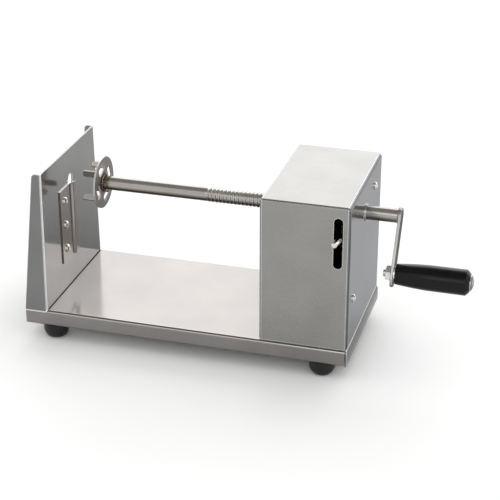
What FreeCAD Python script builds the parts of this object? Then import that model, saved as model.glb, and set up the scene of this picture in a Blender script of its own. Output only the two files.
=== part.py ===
import FreeCAD, Part
import Sketcher
import math
import os

# Hand-cranked spiral potato cutter, as separate pieces in one parametric document.
# Millimetres, +Z up, +X along the drive shaft towards the crank, -Y at the front.
# The origin is the middle of the machine's overall box, on the table.

Vec = FreeCAD.Vector

# Driving dimensions, in millimetres or degrees. Each can be changed by itself.
dimensions = {
    # tray
    "tray_length": 309.0,  # end to end along the shaft
    "tray_depth": 140.0,
    "sheet": 1.2,  # tray and housing sheet
    "bend_radius": 2.5,  # outside of every fold
    "lip_height": 15.5,  # top of the deck to the bottom of the lips
    "return_width": 25.0,  # flange folded in under the front and rear lips
    "corner_slit": 0.5,
    # feet
    "foot_height": 15.0,
    "foot_diameter": 24.0,
    "foot_tread": 13.0,  # diameter of the flat that stands on the table
    "foot_end_inset": 25.0,
    "foot_side_inset": 12.7,
    "foot_recess_diameter": 9.6,
    "foot_floor": 6.0,  # rubber left above the recess
    # small fasteners
    "screw_diameter": 4.0,
    "head_diameter": 7.6,
    "head_height": 2.6,
    "nut_flats": 7.0,
    "nut_height": 3.2,
    "washer_diameter": 9.0,
    "washer_thickness": 0.8,
    "screw_end": 1.0,  # thread left past each nut
    "hole_gap": 0.2,  # radial room in a clearance hole
    "thread_gap": 0.05,  # radial room drawn in a tapped hole
    # end bracket
    "plate_inset": 22.0,  # left end of the tray to the working face of the plate
    "plate_sheet": 1.5,
    "plate_rise": 29.5,  # top of the plate above the shaft axis
    "plate_top_width": 131.0,
    "plate_floor_gap": 0.8,
    "flange_top_width": 9.3,
    "flange_corner": 4.0,
    "slice_slot_width": 10.0,
    "slice_slot_offset": 1.5,  # centre of the slot behind the shaft axis
    "slice_slot_rise": 4.5,  # top of the slot above the shaft axis
    # blade
    "blade_length": 74.0,
    "blade_width": 25.0,  # flat that lies on the plate
    "blade_setback": 2.0,  # end of the flat in front of the shaft axis
    "blade_sheet": 1.2,
    "blade_reach": 9.0,  # raised part, measured along the plate
    "blade_bevel": 3.5,
    "blade_top_gap": 3.7,  # shaft axis down to the top of the blade
    "blade_screw_inset": 10.0,
    "blade_screw_pitch": 24.5,
    # drive shaft
    "axis_height": 106.5,  # above the deck
    "tube_diameter": 13.0,
    "skewer_bore": 6.5,
    "thread_pitch": 3.6,
    "thread_crest": 13.8,
    "thread_root": 12.2,
    "thread_length": 146.0,
    "thread_inset": 4.0,  # end of the thread to the outer face of the side panel
    "ridge_base": 2.5,
    "ridge_top": 1.0,
    "running_gap": 0.1,  # radial room of the thread crest in its bushes
    # potato holder
    "disc_distance": 33.5,  # working face of the plate to the disc
    "disc_diameter": 49.2,
    "disc_sheet": 1.5,
    "window_length": 13.5,
    "window_width": 7.2,
    "window_circle": 30.2,  # diameter through the middles of the windows
    "prong_length": 14.5,
    "prong_bevel": 2.0,
    "holder_turn": 18.0,  # rest angle of the first window
    "weld_leg": 2.0,
    # housing
    "housing_length": 82.0,
    "housing_depth": 136.0,
    "housing_rise": 32.0,  # top of the cover above the shaft axis
    "panel_setback": 0.5,  # side panel behind the end of the tray
    "cover_reveal": 2.0,  # end of the cover behind the face of each wall
    "cover_gap": 0.4,  # under the cover
    "seam_gap": 0.05,
    "wall_flange": 12.0,
    "wall_bend": 2.0,
    "wall_screw_pitch": 92.0,  # from front to rear
    # release lever
    "slot_width": 8.3,
    "slot_length": 48.2,
    "slot_inset": 11.1,  # middle of the slot behind the end of the tray
    "slot_drop": 2.3,  # middle of the slot below the shaft axis
    "lever_sheet": 3.0,
    "lever_eye": 8.0,  # radius of the lever's end round its pivot
    "lever_crown": 9.5,  # top of the lever above the pivot
    "lever_crown_half": 10.0,
    "lever_arch_half": 14.0,
    "lever_arch_gap": 0.6,  # lever over the thread crest
    "lever_front_half": 6.5,
    "lever_front_gap": 15.5,  # front end of the lever behind the face of the cover
    "pin_straight": 18.5,
    "lever_inset": 10.4,  # middle of the lever behind the end of the tray
    "pivot_back": 36.0,  # pivot behind the shaft axis
    "pivot_rise": 11.0,
    "pivot_diameter": 6.0,
    "shoulder_diameter": 10.0,
    "lever_gap": 0.1,
    "clip_thickness": 0.6,
    "clip_diameter": 10.0,
    "pin_diameter": 5.6,
    "pin_drop": 8.6,  # pin below the pivot
    "pin_reach": 14.5,  # pin tip in front of the housing
    "pin_bend": 8.5,
    "nut_length": 8.0,
    "nut_half_width": 9.0,
    "nut_clearance": 0.25,
    "nut_screw_diameter": 3.0,
    "nut_screw_spread": 11.0,
    "nut_screw_rise": 8.1,  # above the thread crest
    "nut_top": 9.5,  # above the pivot
    "spring_inset": 20.0,  # spring behind the face of the cover
    "spring_post_drop": 63.0,
    "spring_diameter": 7.0,
    "spring_wire": 0.9,
    "hook_hole_drop": 2.0,  # hole of the spring below the pin
    "hook_hole": 1.3,
    "hook_radius": 2.9,
    "post_diameter": 7.6,
    "post_screw_reach": 5.5,  # thread of a screw in its post
    "post_end": 1.5,
    # bushes
    "bush_wall": 0.6,
    "bush_rim": 16.2,
    "bush_rim_sheet": 0.9,
    "bush_tail": 3.6,  # bush past the inside of the panel
    "wall_bush_diameter": 18.0,
    "wall_bush_rim": 24.0,
    "wall_bush_rim_sheet": 2.0,
    "wall_bush_length": 9.0,
    # crank and grip
    "crank_gap": 29.5,  # end of the tray to the crank arm
    "arm_sheet": 2.6,
    "arm_width": 15.0,
    "crank_radius": 52.0,
    "arm_tail": 4.7,
    "crank_turn": 31.0,  # rest angle of the arm in front of straight down
    "grip_length": 66.4,
    "grip_neck": 17.4,
    "grip_belly": 22.4,
    "grip_end": 23.4,
    "grip_chamfer": 4.4,
    "grip_play": 0.2,
    "sleeve_diameter": 9.2,
    "bolt_diameter": 7.0,
    "bolt_head_diameter": 14.6,
    "bolt_head_height": 4.2,
    "bolt_recess": 1.0,
    "bolt_nut_flats": 13.0,
    "bolt_nut_height": 4.8,
    "bolt_end": 2.6,
    "grip_washer_diameter": 14.6,
    "grip_washer_sheet": 1.0,
}


class Size:
    """A number together with the expression that gives it in the document."""

    def __init__(self, value, text):
        self.value = float(value)
        self.text = text

    def __add__(self, other):
        other = as_size(other)
        return Size(self.value + other.value, f"({self.text} + {other.text})")

    def __sub__(self, other):
        other = as_size(other)
        return Size(self.value - other.value, f"({self.text} - {other.text})")

    def __mul__(self, other):
        other = as_size(other)
        return Size(self.value * other.value, f"({self.text} * {other.text})")

    def __truediv__(self, other):
        other = as_size(other)
        return Size(self.value / other.value, f"({self.text} / {other.text})")

    def __radd__(self, other):
        return as_size(other) + self

    def __rsub__(self, other):
        return as_size(other) - self

    def __rmul__(self, other):
        return as_size(other) * self

    def __neg__(self):
        return Size(-self.value, f"(-1 * {self.text})")


def as_size(number):
    return number if isinstance(number, Size) else Size(number, repr(float(number)))


def cosine(angle):
    return Size(math.cos(math.radians(angle.value)), f"cos({angle.text})")


def sine(angle):
    return Size(math.sin(math.radians(angle.value)), f"sin({angle.text})")


def tangent(angle):
    return Size(math.tan(math.radians(angle.value)), f"tan({angle.text})")


def root(size):
    return Size(math.sqrt(size.value), f"sqrt({size.text})")


def whole(size):
    return Size(math.floor(size.value), f"floor({size.text})")


class Values:
    """Sizes, reached by name."""


doc = FreeCAD.newDocument("PotatoCutter")
size_sheet = doc.addObject("Spreadsheet::Sheet", "Sizes")
station_sheet = doc.addObject("Spreadsheet::Sheet", "Stations")
s = Values()
for row, (alias, number) in enumerate(dimensions.items(), start=1):
    size_sheet.set(f"A{row}", alias.replace("_", " "))
    size_sheet.set(f"B{row}", str(number))
    size_sheet.setAlias(f"B{row}", alias)
    setattr(s, alias, Size(number, f"Sizes.{alias}"))
doc.recompute()

at = Values()
station_rows = []


def station(alias, place):
    """Keep a worked-out place or size in the second sheet, under a name of its own."""
    station_rows.append(alias)
    row = len(station_rows)
    station_sheet.set(f"A{row}", alias.replace("_", " "))
    station_sheet.set(f"B{row}", "=" + place.text)
    station_sheet.setAlias(f"B{row}", alias)
    setattr(at, alias, Size(place.value, f"Stations.{alias}"))


# Places along X
station("sleeve_length", s.grip_length - s.bolt_recess + 2 * s.grip_play)
station("grip_start", s.crank_gap + s.arm_sheet + s.grip_washer_sheet)
station("overhang", at.grip_start + at.sleeve_length + s.bolt_head_height)
station("tray_right", (s.tray_length - at.overhang) / 2)
station("tray_left", at.tray_right - s.tray_length)
station("plate_face", at.tray_left + s.plate_inset)
station("disc_face", at.plate_face + s.disc_distance)
station("panel_face", at.tray_right - s.panel_setback)
station("panel_inside", at.panel_face - s.sheet)
station("wall_face", at.tray_right - s.housing_length)
station("thread_right", at.panel_face - s.thread_inset)
station("thread_left", at.thread_right - s.thread_length)
station("arm_face", at.tray_right + s.crank_gap)
station("grip_face", at.tray_right + at.grip_start + s.grip_play)
station("lever_middle", at.tray_right - s.lever_inset)
station("nut_face", at.lever_middle - s.lever_sheet / 2)
# Places along Y and Z
station("axis_y", (s.housing_depth / 2 + s.pin_reach - s.tray_depth / 2) / 2)
# how far the rounded end of the leaning pin stands past the end of its centre line
station("pin_tip", s.pin_diameter * (0.2 * sine(s.pin_bend) + 0.3 * (1 - cosine(s.pin_bend))))
station("deck_top", s.foot_height + s.lip_height)
station("axis_z", at.deck_top + s.axis_height)
station("plate_high", s.axis_height + s.plate_rise)
station("spring_front", s.housing_depth / 2 - s.spring_inset)
station("housing_high", s.axis_height + s.housing_rise)
station("pivot_y", at.axis_y + s.pivot_back)
station("pivot_z", at.axis_z + s.pivot_rise)
station("grip_y", at.axis_y - s.crank_radius * sine(s.crank_turn))
station("grip_z", at.axis_z - s.crank_radius * cosine(s.crank_turn))
# Shared sizes
station("screw_hole", s.screw_diameter / 2 + s.hole_gap)
station("tapped_hole", s.screw_diameter / 2 + s.thread_gap)
station("bush_bore", s.thread_crest / 2 + s.running_gap)
station("bush_body", at.bush_bore + s.bush_wall)
station("inner_radius", s.bend_radius - s.sheet)
doc.recompute()

nodes = {}


def new_body(label, x, y, z, turn=None, about=Vec(1, 0, 0)):
    """A PartDesign body that stands at a place given by sizes, turned about one axis."""
    body = doc.addObject("PartDesign::Body", label)
    body.Label = label
    body.AllowCompound = True
    body.Placement = FreeCAD.Placement(Vec(0, 0, 0), FreeCAD.Rotation(about, 0.0))
    for name, place in (("x", x), ("y", y), ("z", z)):
        body.setExpression(f"Placement.Base.{name}", as_size(place).text)
    if turn is not None:
        body.Placement.Rotation = FreeCAD.Rotation(about, 1.0)
        body.setExpression("Placement.Rotation.Angle", as_size(turn).text)
    nodes[label] = body
    return body


def origin_feature(body, role):
    return next(item for item in body.Origin.OriginFeatures if item.Role == role)


def new_sketch(body, role, offset=None):
    sketch = body.newObject("Sketcher::SketchObject", f"{body.Name}_sketch")
    sketch.AttachmentSupport = (origin_feature(body, role), [""])
    sketch.MapMode = "FlatFace"
    if offset is not None:
        sketch.setExpression("AttachmentOffset.Base.z", as_size(offset).text)
    return sketch


def fix_point(sketch, item, end, x, y):
    for kind, place in (("DistanceX", x), ("DistanceY", y)):
        row = sketch.addConstraint(Sketcher.Constraint(kind, -1, 1, item, end, place.value))
        sketch.setExpression(f"Constraints[{row}]", place.text)


def draw_circle(sketch, x, y, radius):
    x, y, radius = as_size(x), as_size(y), as_size(radius)
    circle = Part.Circle(Vec(x.value, y.value, 0), Vec(0, 0, 1), radius.value)
    item = sketch.addGeometry(circle)
    fix_point(sketch, item, 3, x, y)
    row = sketch.addConstraint(Sketcher.Constraint("Radius", item, radius.value))
    sketch.setExpression(f"Constraints[{row}]", radius.text)


def draw_outline(sketch, path):
    """A closed outline. Each step is (x, y) for a line, or (x, y, centre x, centre y, turn)
    for an arc, where turn is 1 anticlockwise and -1 clockwise."""
    steps = [tuple(as_size(part) for part in step[:4]) + step[4:] for step in path]
    items = []
    for number, step in enumerate(steps):
        x0, y0 = steps[number - 1][:2]
        x1, y1 = step[:2]
        start, end = Vec(x0.value, y0.value, 0), Vec(x1.value, y1.value, 0)
        if len(step) == 2:
            item = sketch.addGeometry(Part.LineSegment(start, end))
            items.append((item, 1, 2))
            continue
        centre = Vec(step[2].value, step[3].value, 0)
        first, last = (start, end) if step[4] > 0 else (end, start)
        angles = [math.atan2(p.y - centre.y, p.x - centre.x) for p in (first, last)]
        if angles[1] <= angles[0]:
            angles[1] += 2 * math.pi
        circle = Part.Circle(centre, Vec(0, 0, 1), (start - centre).Length)
        item = sketch.addGeometry(Part.ArcOfCircle(circle, *angles))
        items.append((item, 1, 2) if step[4] > 0 else (item, 2, 1))
        chord = end - start
        kind, place = ("DistanceX", step[2]) if abs(chord.y) >= abs(chord.x) else ("DistanceY", step[3])
        row = sketch.addConstraint(Sketcher.Constraint(kind, -1, 1, item, 3, place.value))
        sketch.setExpression(f"Constraints[{row}]", place.text)
    for number, (item, begin, finish) in enumerate(items):
        following = items[(number + 1) % len(items)]
        sketch.addConstraint(Sketcher.Constraint("Coincident", item, finish, following[0], following[1]))
        fix_point(sketch, item, finish, *steps[number][:2])


def folded_sheet(corners, thickness, radius, side):
    """Outline of a sheet folded square at each corner. side is 1 for sheet on the left of the
    line through the corners and -1 for sheet on its right."""
    corners = [(as_size(x), as_size(y)) for x, y in corners]
    ways = []
    for (x0, y0), (x1, y1) in zip(corners, corners[1:]):
        run = Vec(x1.value - x0.value, y1.value - y0.value, 0).normalize()
        ways.append((round(run.x), round(run.y)))
    lines = []
    for shift in (0, side):
        line = []
        for number, (x, y) in enumerate(corners):
            before = ways[max(number - 1, 0)]
            after = ways[min(number, len(ways) - 1)]
            corner_x, corner_y = x, y
            for way in {before, after}:
                corner_x = corner_x + thickness * (-way[1] * shift)
                corner_y = corner_y + thickness * (way[0] * shift)
            turn = before[0] * after[1] - before[1] * after[0]
            if turn == 0:
                line.append(((corner_x, corner_y), None))
                continue
            outside = (turn == side) == (shift == 0)
            bend = radius if outside else radius - thickness
            start = (corner_x - bend * before[0], corner_y - bend * before[1])
            end = (corner_x + bend * after[0], corner_y + bend * after[1])
            centre = (start[0] - bend * (before[1] * turn), start[1] + bend * (before[0] * turn))
            line.append((start, (end, centre, turn)))
        lines.append(line)
    path = []
    for start, arc in lines[0]:
        path.append(start)
        if arc:
            path.append((*arc[0], *arc[1], arc[2]))
    for start, arc in reversed(lines[1]):
        if arc:
            path.append(arc[0])
            path.append((*start, *arc[1], -arc[2]))
        else:
            path.append(start)
    return path


def extrude(body, sketch, length, kind="PartDesign::Pad", back=False, both=False, through=False):
    feature = body.newObject(kind, f"{body.Name}_{kind.split('::')[1]}")
    feature.Profile = sketch
    if through:
        feature.Type = 1
    else:
        feature.setExpression("Length", as_size(length).text)
    feature.Reversed = back
    feature.Midplane = both
    sketch.Visibility = False
    body.Tip = feature
    return feature


def cut(body, sketch, length=None, back=False, both=False):
    """A pocket of a given depth, or right through when no depth is given."""
    doc.recompute()
    before = body.Shape.Volume
    through = length is None
    feature = extrude(body, sketch, length, "PartDesign::Pocket", back, both, through)
    doc.recompute()
    if not body.Shape.Volume < before - 1e-6:
        raise RuntimeError(f"{feature.Label} cuts nothing")
    return feature


def spin(body, sketch, axis, kind="PartDesign::Revolution"):
    feature = body.newObject(kind, f"{body.Name}_{kind.split('::')[1]}")
    feature.Profile = sketch
    feature.ReferenceAxis = (sketch, [axis])
    feature.Angle = 360.0
    body.Tip = feature
    return feature


def pick(shape, wanted):
    return [f"Edge{number}" for number, edge in enumerate(shape.Edges, start=1) if wanted(edge)]


def soften(body, radius, wanted, kind="PartDesign::Fillet"):
    """Round or bevel the edges of the body that pass a test."""
    doc.recompute()
    base = body.Tip
    feature = body.newObject(kind, f"{body.Name}_{kind.split('::')[1]}")
    feature.Base = (base, pick(base.Shape, wanted))
    feature.setExpression("Radius" if kind.endswith("Fillet") else "Size", as_size(radius).text)
    body.Tip = feature
    return feature


def row_of(body, feature, role, spacing, count):
    """Copies of a feature, evenly spaced along one axis of the body."""
    pattern = body.newObject("PartDesign::LinearPattern", f"{body.Name}_row")
    pattern.Originals = [feature] if not isinstance(feature, list) else feature
    pattern.Direction = (origin_feature(body, role), [""])
    pattern.Occurrences = count
    pattern.setExpression("Length", as_size(spacing * (count - 1)).text)
    body.Tip = pattern
    return pattern


def mirror(body, features, role):
    copy = body.newObject("PartDesign::Mirrored", f"{body.Name}_mirror")
    copy.Originals = features
    copy.MirrorPlane = (origin_feature(body, role), [""])
    body.Tip = copy
    return copy


def ring_of(body, features, role, count):
    pattern = body.newObject("PartDesign::PolarPattern", f"{body.Name}_ring")
    pattern.Originals = features
    pattern.Axis = (origin_feature(body, role), [""])
    pattern.Angle = 360.0
    pattern.Occurrences = count
    body.Tip = pattern
    return pattern


def turned(body, path):
    """A round piece on the body's own X axis: path gives (x, radius) steps."""
    sketch = new_sketch(body, "XZ_Plane")
    draw_outline(sketch, path)
    return spin(body, sketch, "H_Axis")


def add_round_screw(body, diameter, head, head_height, length):
    """Domed head on +X of the origin, shank on -X."""
    return turned(body, head_outline(diameter, head, head_height, length))


def head_outline(diameter, head, height, length):
    """Half section of a round-head screw; the dome is three short cones."""
    half, shank = head / 2, diameter / 2
    return [(-length, 0), (-length, shank - 0.4), (-length + 0.4, shank), (0, shank), (0, half),
            (height * 0.4, half), (height * 0.76, half * 0.8), (height * 0.95, half * 0.46), (height, 0)]


def add_hex(body, flats, height, hole):
    """Hexagon on the body's YZ plane, going to +X, with a round hole."""
    sketch = new_sketch(body, "YZ_Plane")
    corner = flats / math.sqrt(3)
    half, middle = corner / 2, flats / 2
    draw_outline(sketch, [(corner, 0), (half, middle), (-half, middle), (-corner, 0),
                          (-half, -middle), (half, -middle)])
    draw_circle(sketch, 0, 0, hole)
    return extrude(body, sketch, height)


def add_washer(body, diameter, thickness, hole):
    sketch = new_sketch(body, "YZ_Plane")
    draw_circle(sketch, 0, 0, diameter / 2)
    draw_circle(sketch, 0, 0, hole)
    return extrude(body, sketch, thickness)


# ---------------------------------------------------------------- tray
def make_tray():
    body = new_body("tray", at.tray_right, at.axis_y, at.deck_top)
    half, lip, bend = s.tray_depth / 2, s.lip_height, s.bend_radius
    sketch = new_sketch(body, "YZ_Plane", -s.tray_length)
    draw_outline(sketch, folded_sheet([
        (s.return_width - half, -lip), (-half, -lip), (-half, 0),
        (half, 0), (half, -lip), (half - s.return_width, -lip)], s.sheet, bend, -1))
    extrude(body, sketch, s.tray_length - bend)
    # lip at the crank end
    sketch = new_sketch(body, "XZ_Plane")
    draw_outline(sketch, folded_sheet([(-2 * bend, 0), (0, 0), (0, -lip)], s.sheet, bend, -1))
    extrude(body, sketch, s.tray_depth - 2 * bend, both=True)
    # ball corner, and the lips drawn together below it with a slit between them
    sketch = new_sketch(body, "XZ_Plane", half - bend)
    draw_outline(sketch, [
        (-bend, -s.sheet), (-s.sheet, -bend, -bend, -bend, -1), (0, -bend),
        (-bend, 0, -bend, -bend, 1)])
    ball = body.newObject("PartDesign::Revolution", "tray_corner")
    ball.Profile = sketch
    line = sketch.addGeometry(Part.LineSegment(Vec(-bend.value, 0, 0), Vec(-bend.value, 10, 0)), True)
    sketch.addConstraint(Sketcher.Constraint("Vertical", line))
    fix_point(sketch, line, 1, -bend, as_size(0))
    row = sketch.addConstraint(Sketcher.Constraint("DistanceY", line, 1, line, 2, 10.0))
    sketch.setExpression(f"Constraints[{row}]", "10")
    ball.ReferenceAxis = (sketch, ["Axis0"])
    ball.Angle = 90.0
    ball.Reversed = True
    body.Tip = ball
    sketch = new_sketch(body, "XY_Plane", -lip)
    front, inner = -half, s.sheet - half
    draw_outline(sketch, [(-s.sheet, bend - half), (-s.sheet, front), (0, front), (0, bend - half)])
    draw_outline(sketch, [(-bend, inner), (-bend, front), (-s.sheet - s.corner_slit, front),
                          (-s.sheet - s.corner_slit, inner)])
    tabs = extrude(body, sketch, lip - bend)
    mirror(body, [ball, tabs], "XZ_Plane")
    # holes for the feet, and for the screws that hold the housing walls
    sketch = new_sketch(body, "XY_Plane", -lip)
    for x in (-s.foot_end_inset, s.foot_end_inset - s.tray_length):
        for way in (-1, 1):
            draw_circle(sketch, x, way * (half - s.foot_side_inset), at.screw_hole)
    cut(body, sketch, s.sheet, back=True)
    sketch = new_sketch(body, "XY_Plane")
    for x in wall_screw_places():
        for way in (-1, 1):
            draw_circle(sketch, x - at.tray_right, way * s.wall_screw_pitch / 2, at.screw_hole)
    cut(body, sketch, s.sheet)


def wall_screw_places():
    middle = (s.wall_flange + s.sheet) / 2
    return at.panel_face - middle, at.wall_face + middle


def make_feet():
    """Rubber bowls, each held by a screw with a washer in its recess and a nut on the flange."""
    half, tread = s.foot_diameter / 2, s.foot_tread / 2
    side = s.tray_depth / 2 - s.foot_side_inset
    left, right = at.tray_left + s.foot_end_inset, at.tray_right - s.foot_end_inset
    shoulder = s.foot_height * 0.62
    swell = half - tread
    seat = s.foot_height - s.foot_floor
    body = new_body("feet", left, at.axis_y - side, 0, -90.0, Vec(0, 1, 0))
    foot = turned(body, [
        (0, tread), (shoulder * 0.3, tread + swell * 0.52), (shoulder * 0.65, tread + swell * 0.88),
        (shoulder, half), (s.foot_height, half), (s.foot_height, at.screw_hole), (seat, at.screw_hole),
        (seat, s.foot_recess_diameter / 2), (0, s.foot_recess_diameter / 2)])
    spread_four(body, foot, right - left, 2 * side, None)
    stack = {
        "foot_washers": (seat - s.washer_thickness, None),
        "foot_screws": (seat - s.washer_thickness, 1),
        "foot_nuts": (s.foot_height + s.sheet, None),
    }
    for label, (z, flip) in stack.items():
        turn = 90.0 if flip else -90.0
        body = new_body(label, left, at.axis_y - side, z, turn, Vec(0, 1, 0))
        if label == "foot_screws":
            length = s.washer_thickness + s.foot_floor + s.sheet + s.nut_height + s.screw_end
            piece = add_round_screw(body, s.screw_diameter, s.head_diameter, s.head_height, length)
        elif label == "foot_washers":
            piece = add_washer(body, s.washer_diameter, s.washer_thickness, at.screw_hole)
        else:
            piece = add_hex(body, s.nut_flats, s.nut_height, at.tapped_hole)
        spread_four(body, piece, right - left, 2 * side, flip)


def spread_four(body, piece, length, depth, flip):
    """Four copies at the corners of a rectangle, for a body whose X axis is upright."""
    first = row_of(body, piece, "Y_Axis", depth, 2)
    grid = body.newObject("PartDesign::MultiTransform", f"{body.Name}_grid")
    grid.Originals = first.Originals
    second = body.newObject("PartDesign::LinearPattern", f"{body.Name}_row")
    second.Direction = (origin_feature(body, "Z_Axis"), [""])
    second.Reversed = not flip
    second.Occurrences = 2
    second.setExpression("Length", as_size(length).text)
    first.Originals = []
    grid.Transformations = [first, second]
    body.Tip = grid


# ---------------------------------------------------------------- end bracket and blade
def make_end_bracket():
    body = new_body("end_bracket", at.plate_face, at.axis_y, at.deck_top)
    bottom, top = s.tray_depth / 2, s.plate_top_width / 2
    depth, high, bend = s.plate_inset, at.plate_high, s.bend_radius
    sketch = new_sketch(body, "YZ_Plane")
    draw_outline(sketch, [(-bottom, -bend), (bottom, -bend), (top, high), (-top, high)])
    extrude(body, sketch, depth, back=True)
    soften(body, bend, lambda edge: edge.BoundBox.XMin > -0.01 and edge.BoundBox.ZLength > high.value)
    doc.recompute()
    base = body.Tip
    shell = body.newObject("PartDesign::Thickness", "end_bracket_shell")
    open_faces = [f"Face{number}" for number, face in enumerate(base.Shape.Faces, start=1)
                  if abs(face.normalAt(0, 0).z) > 0.99 or face.normalAt(0, 0).x < -0.99]
    shell.Base = (base, open_faces)
    shell.Reversed = True
    shell.setExpression("Value", s.plate_sheet.text)
    body.Tip = shell
    # free edge of the flanges, from the full width at the deck to a narrow rounded top
    sketch = new_sketch(body, "XZ_Plane")
    corner = s.flange_corner
    draw_outline(sketch, [
        (-s.flange_top_width, high - corner), (corner - s.flange_top_width, high,
                                               corner - s.flange_top_width, high - corner, -1),
        (corner - s.flange_top_width, high + 5), (-depth - 5, high + 5), (-depth - 5, 0), (-depth, 0)])
    cut(body, sketch, s.tray_depth * 1.1, both=True)
    # seat on the deck and its rounded edges
    sketch = new_sketch(body, "YZ_Plane", 5)
    gap, flat = s.seam_gap, bottom - bend
    draw_outline(sketch, [
        (-bottom - gap, -2 * bend), (-bottom - gap, -bend), (-flat, gap, -flat, -bend, -1), (flat, gap),
        (bottom + gap, -bend, flat, -bend, -1), (bottom + gap, -2 * bend)])
    cut(body, sketch, depth + 10)
    inner = flat - s.plate_sheet
    sketch = new_sketch(body, "YZ_Plane", 5)
    draw_outline(sketch, [(-inner, 0), (inner, 0), (inner, s.plate_floor_gap), (-inner, s.plate_floor_gap)])
    cut(body, sketch, depth + 10)
    # slot that takes the skewer at its top and lets the slice through below
    sketch = new_sketch(body, "YZ_Plane", 5)
    round_end = s.slice_slot_width / 2
    left, right = s.slice_slot_offset - round_end, s.slice_slot_offset + round_end
    crown = s.axis_height + s.slice_slot_rise - round_end
    foot = s.axis_height - s.blade_top_gap - s.blade_length + round_end
    draw_outline(sketch, [
        (left, foot), (right, foot, s.slice_slot_offset, foot, 1),
        (right, crown), (left, crown, s.slice_slot_offset, crown, 1)])
    cut(body, sketch, 10)
    sketch = new_sketch(body, "YZ_Plane", 5)
    for number in range(3):
        draw_circle(sketch, blade_screw_y(), blade_screw_z(number), at.screw_hole)
    cut(body, sketch, 10)


def blade_screw_y():
    return s.blade_screw_inset - s.blade_width - s.blade_setback


def blade_screw_z(number):
    """Height above the deck; the screws are evenly spaced about the middle of the blade."""
    middle = s.axis_height - s.blade_top_gap - s.blade_length / 2
    return middle + (1 - number) * s.blade_screw_pitch


def make_blade():
    foot = at.axis_z - s.blade_top_gap - s.blade_length
    body = new_body("blade", at.plate_face, at.axis_y - s.blade_setback, foot)
    thick, wide, reach, rise = s.blade_sheet, s.blade_width, s.blade_reach, s.thread_pitch
    slope = rise / reach
    sketch = new_sketch(body, "XY_Plane")
    draw_outline(sketch, [
        (0, -wide), (0, 0), (rise, reach), (rise + thick - slope * s.blade_bevel, reach - s.blade_bevel),
        (thick, -0.15 * thick), (thick, -wide)])
    extrude(body, sketch, s.blade_length)
    sketch = new_sketch(body, "YZ_Plane")
    draw_circle(sketch, s.blade_screw_inset - wide, s.blade_length / 2 - s.blade_screw_pitch, at.screw_hole)
    hole = cut(body, sketch, thick, back=True)
    row_of(body, hole, "Z_Axis", s.blade_screw_pitch, 3)


def make_blade_fasteners():
    y = at.axis_y + blade_screw_y()
    z = at.deck_top + blade_screw_z(2)
    body = new_body("blade_screws", at.plate_face + s.blade_sheet, y, z)
    length = s.blade_sheet + s.plate_sheet + s.nut_height + s.screw_end
    screw = add_round_screw(body, s.screw_diameter, s.head_diameter, s.head_height, length)
    row_of(body, screw, "Z_Axis", s.blade_screw_pitch, 3)
    body = new_body("blade_nuts", at.plate_face - s.plate_sheet - s.nut_height, y, z)
    nut = add_hex(body, s.nut_flats, s.nut_height, at.tapped_hole)
    row_of(body, nut, "Z_Axis", s.blade_screw_pitch, 3)


# ---------------------------------------------------------------- drive shaft and potato holder
def make_shaft_tube():
    body = new_body("shaft_tube", at.disc_face, at.axis_y, at.axis_z)
    tube, core, bore = s.tube_diameter / 2, s.thread_root / 2, s.skewer_bore / 2
    start, end = at.thread_left - at.disc_face, at.thread_right - at.disc_face
    turned(body, [
        (0, bore), (0, tube), (start, tube), (start, core), (end, core), (end, tube),
        (at.arm_face - at.disc_face, tube), (at.arm_face - at.disc_face, bore)])
    # one rolled thread, the lead screw that feeds the potato
    sketch = new_sketch(body, "XZ_Plane")
    draw_outline(sketch, ridge_outline(start, as_size(0)))
    add_helix(body, sketch, "PartDesign::AdditiveHelix", s.thread_length - s.ridge_base)


def ridge_outline(start, room):
    """Section of the thread's ridge where it begins; room widens it for the mating nut."""
    low, high = s.thread_root / 2 - 0.2 + room, s.thread_crest / 2 + room
    middle = start + s.ridge_base / 2
    base, top = s.ridge_base / 2 + room, s.ridge_top / 2 + room
    return [(middle - base, low), (middle - top, high), (middle + top, high), (middle + base, low)]


def add_helix(body, sketch, kind, height):
    helix = body.newObject(kind, f"{body.Name}_thread")
    helix.Profile = sketch
    helix.ReferenceAxis = (sketch, ["H_Axis"])
    helix.Mode = 0
    helix.setExpression("Pitch", s.thread_pitch.text)
    helix.setExpression("Height", as_size(height).text)
    body.Tip = helix
    return helix


def make_holder_disc():
    """Disc round the end of the tube. Four tabs are lanced from its windows and bent towards
    the blade as prongs."""
    body = new_body("holder_disc", at.disc_face, at.axis_y, at.axis_z, s.holder_turn)
    sketch = new_sketch(body, "YZ_Plane")
    draw_circle(sketch, 0, 0, s.disc_diameter / 2)
    draw_circle(sketch, 0, 0, s.tube_diameter / 2 + s.seam_gap)
    extrude(body, sketch, s.disc_sheet)
    sketch = new_sketch(body, "YZ_Plane")
    middle, half, end = s.window_circle / 2, s.window_width / 2, s.window_length / 2
    corner = s.window_width * 0.3
    draw_outline(sketch, [
        (middle + half, corner - end, middle + half - corner, corner - end, 1), (middle + half, end),
        (middle - half, end), (middle - half, corner - end),
        (middle - half + corner, -end, middle - half + corner, corner - end, 1),
        (middle + half - corner, -end)])
    window = cut(body, sketch, s.disc_sheet, back=True)
    ring_of(body, [window], "X_Axis", 4)
    # a prong stands past one end of each window; its tip is bevelled on both sides
    sketch = new_sketch(body, "XY_Plane", end)
    bevel, inner, outer = s.prong_bevel, middle - half, middle + half
    draw_outline(sketch, [
        (s.disc_sheet, inner), (s.disc_sheet, outer), (bevel - s.prong_length, outer),
        (-s.prong_length, outer - bevel * 0.6), (-s.prong_length, inner + bevel * 0.6),
        (bevel - s.prong_length, inner)])
    prong = extrude(body, sketch, s.disc_sheet)
    ring_of(body, [prong], "X_Axis", 4)


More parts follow.
